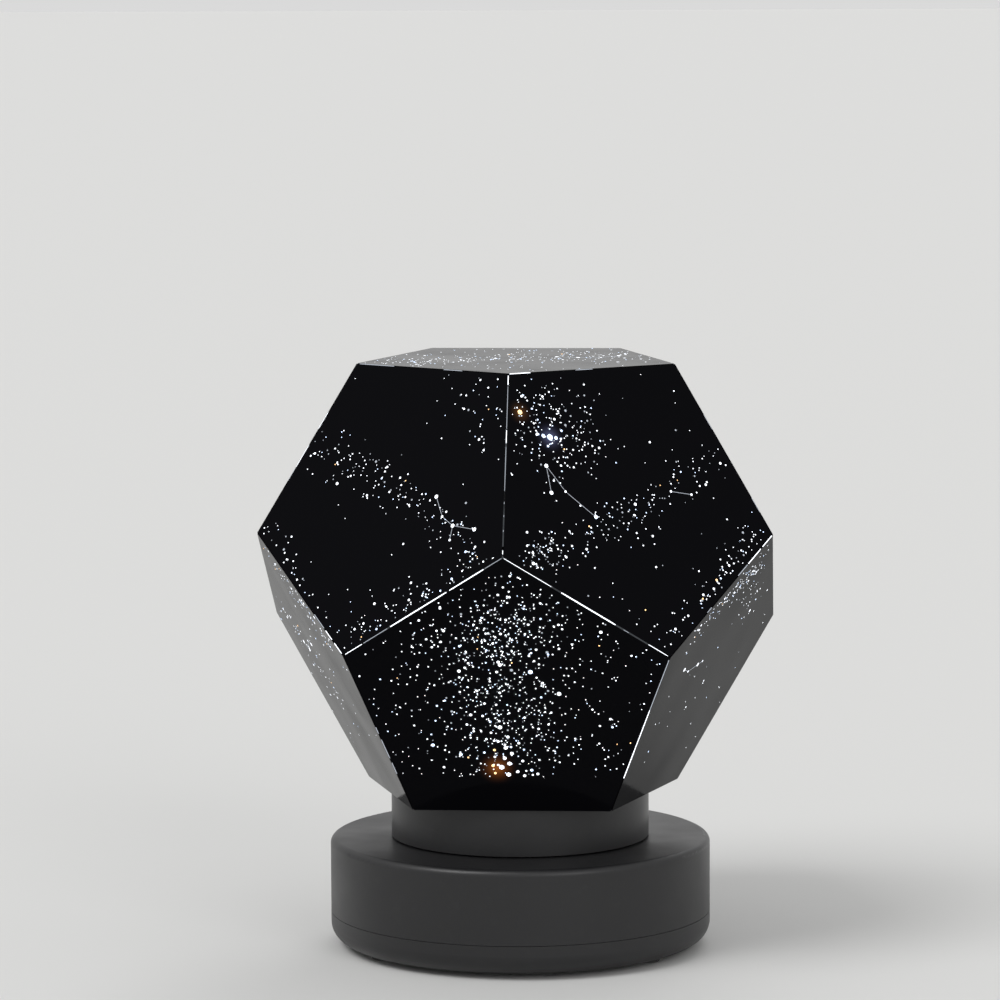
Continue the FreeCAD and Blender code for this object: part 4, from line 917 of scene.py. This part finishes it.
def printed(text, size, place):
    """A short text as a thin mesh, centred on the matrix it is given."""
    bpy.ops.object.text_add()
    label = bpy.context.object
    label.data.body = text
    label.data.size = size
    label.data.extrude = 0.02 * MM
    label.data.align_x = "CENTER"
    label.data.align_y = "CENTER"
    label.data.resolution_u = 4
    bpy.ops.object.convert(target="MESH")
    label = bpy.context.object
    label.data.transform(place)
    return label


def joined(name, pieces, body, finish):
    """Several small meshes joined into one piece that rides on a body."""
    bpy.ops.object.select_all(action="DESELECT")
    for piece in pieces:
        piece.select_set(True)
    bpy.context.view_layer.objects.active = pieces[0]
    bpy.ops.object.join()
    piece = bpy.context.object
    piece.name = name
    piece.data.materials.clear()
    piece.data.materials.append(finish)
    bpy.ops.object.select_all(action="DESELECT")
    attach(piece, body)
    return piece


knob_low, knob_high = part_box("switch_knob")
PANEL_FACE = 55.5 * MM
MARK_LEVEL = knob_low[2] - 1.8 * MM
MARK_SIZE = 1.7 * MM
KNOB_TRAVEL = 6 * MM
ON_PLACE = (knob_low[0] + knob_high[0]) / 2
marks = []
for word, across in (("ON", ON_PLACE), ("OFF", ON_PLACE - KNOB_TRAVEL)):
    spot = Matrix.Translation((across, PANEL_FACE, MARK_LEVEL))
    marks.append(printed(word, MARK_SIZE, spot @ FACING_BACK))
print(joined("switch_marks", marks, "base", INK).name)

# %% [markdown]
# The cells lie head to tail. A plus and a minus on each sleeve say which way round it goes.
# They face down, to be read with the door open.

# %% Print the marks on the cells
FACING_DOWN = Matrix(((1, 0, 0, 0), (0, -1, 0, 0), (0, 0, -1, 0), (0, 0, 0, 1)))
SIGN_SIZE, SIGN_REACH = 4.5 * MM, 17 * MM
signs = []
for number in (1, 2, 3):
    low, high = (Vector(corner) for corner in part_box(f"battery_cell_{number}"))
    middle = (low + high) / 2
    head = 1 if number % 2 else -1
    for side, sign in ((head, "+"), (-head, "-")):
        spot = (middle.x + side * SIGN_REACH, middle.y, low.z)
        signs.append(printed(sign, SIGN_SIZE, Matrix.Translation(spot) @ FACING_DOWN))
print(joined("cell_marks", signs, "base", INK).name)

# %% [markdown]
# ## Stage
# The object stands on a pale floor that runs back to a pale wall of light. The floor lets a
# camera below it look through, and lets soft light come up from below, so that the battery
# door can be seen open. Large soft lamps keep every colour about as it was written.

# %% Set the floor and the background
FLOOR_SIZE = 60
LIGHT_GREY, SEEN_GREY = (0.5, 0.5, 0.5, 1), (0.7, 0.7, 0.7, 1)
bpy.ops.mesh.primitive_plane_add(size=FLOOR_SIZE, location=(0, 0, 0))
floor = bpy.context.object
floor.name = "floor"
floor_finish, floor_shader = new_material("Pale floor", (0.72, 0.72, 0.71), 0.9)
floor_tree = floor_finish.node_tree
underside = add_node(floor_tree, "NewGeometry")
soft_ray = add_node(floor_tree, "LightPath")
see_through = add_node(floor_tree, "BsdfTransparent")
either = add_node(floor_tree, "MixShader")
lets_through = maths(
    floor_tree, "MAXIMUM", underside.outputs["Backfacing"], soft_ray.outputs["Is Diffuse Ray"],
)
floor_tree.links.new(lets_through, either.inputs[0])
floor_tree.links.new(floor_shader.outputs["BSDF"], either.inputs[1])
floor_tree.links.new(see_through.outputs["BSDF"], either.inputs[2])
floor_end = floor_tree.nodes["Material Output"]
floor_tree.links.new(either.outputs["Shader"], floor_end.inputs["Surface"])
floor.data.materials.append(floor_finish)
world = bpy.context.scene.world or bpy.data.worlds.new("World")
bpy.context.scene.world = world
world.use_nodes = True
sky_tree = world.node_tree
background = sky_tree.nodes["Background"]
seen = add_node(sky_tree, "LightPath")
direct = maths(sky_tree, "MAXIMUM", seen.outputs["Is Camera Ray"], seen.outputs["Is Glossy Ray"])
direct = maths(sky_tree, "MAXIMUM", direct, seen.outputs["Is Transmission Ray"])
sky_tree.links.new(
    mixed(sky_tree, direct, LIGHT_GREY, SEEN_GREY), background.inputs["Color"],
)
print("floor and background set")

# %% Hang the lamps
LAMP_SPREAD = math.radians(30)
LIT_MIDDLE = Vector((0, 0, 0.09))


def soft_lamp(name, place, power):
    """A far, wide lamp that lights everything evenly from this side."""
    bpy.ops.object.light_add(type="SUN", location=place)
    lamp = bpy.context.object
    lamp.name = name
    lamp.data.angle = LAMP_SPREAD
    lamp.data.energy = power
    way = LIT_MIDDLE - Vector(place)
    lamp.rotation_euler = way.to_track_quat("-Z", "Y").to_euler()
    return lamp


soft_lamp("key", (-1.1, -1.0, 1.9), 1.25)
soft_lamp("fill", (1.0, -1.6, 1.0), 0.45)
soft_lamp("back", (0.4, 1.5, 1.8), 0.45)

# %% [markdown]
# The camera stands about 1.4 m away with a long lens, a little to the right and above.

# %% Place the camera
CAMERA_PLACE = Vector((0.0837, -1.4101, 0.3028))
HEADING = Vector((-0.0634, 0.998, 0)).normalized()
PITCH = 0.115628
ROLL = -0.00429
look = HEADING * math.cos(PITCH) - Vector((0, 0, math.sin(PITCH)))
bpy.ops.object.camera_add(location=CAMERA_PLACE)
camera = bpy.context.object
camera.data.lens = 165.73
camera.data.sensor_width = 36
turned = look.to_track_quat("-Z", "Y").to_matrix() @ Matrix.Rotation(ROLL, 3, "Z")
camera.rotation_euler = turned.to_euler()
camera.data.clip_start = 0.01
camera.data.clip_end = 50
bpy.context.scene.camera = camera
bpy.context.scene.view_settings.view_transform = "Standard"
print("camera at", [round(value, 3) for value in CAMERA_PLACE])
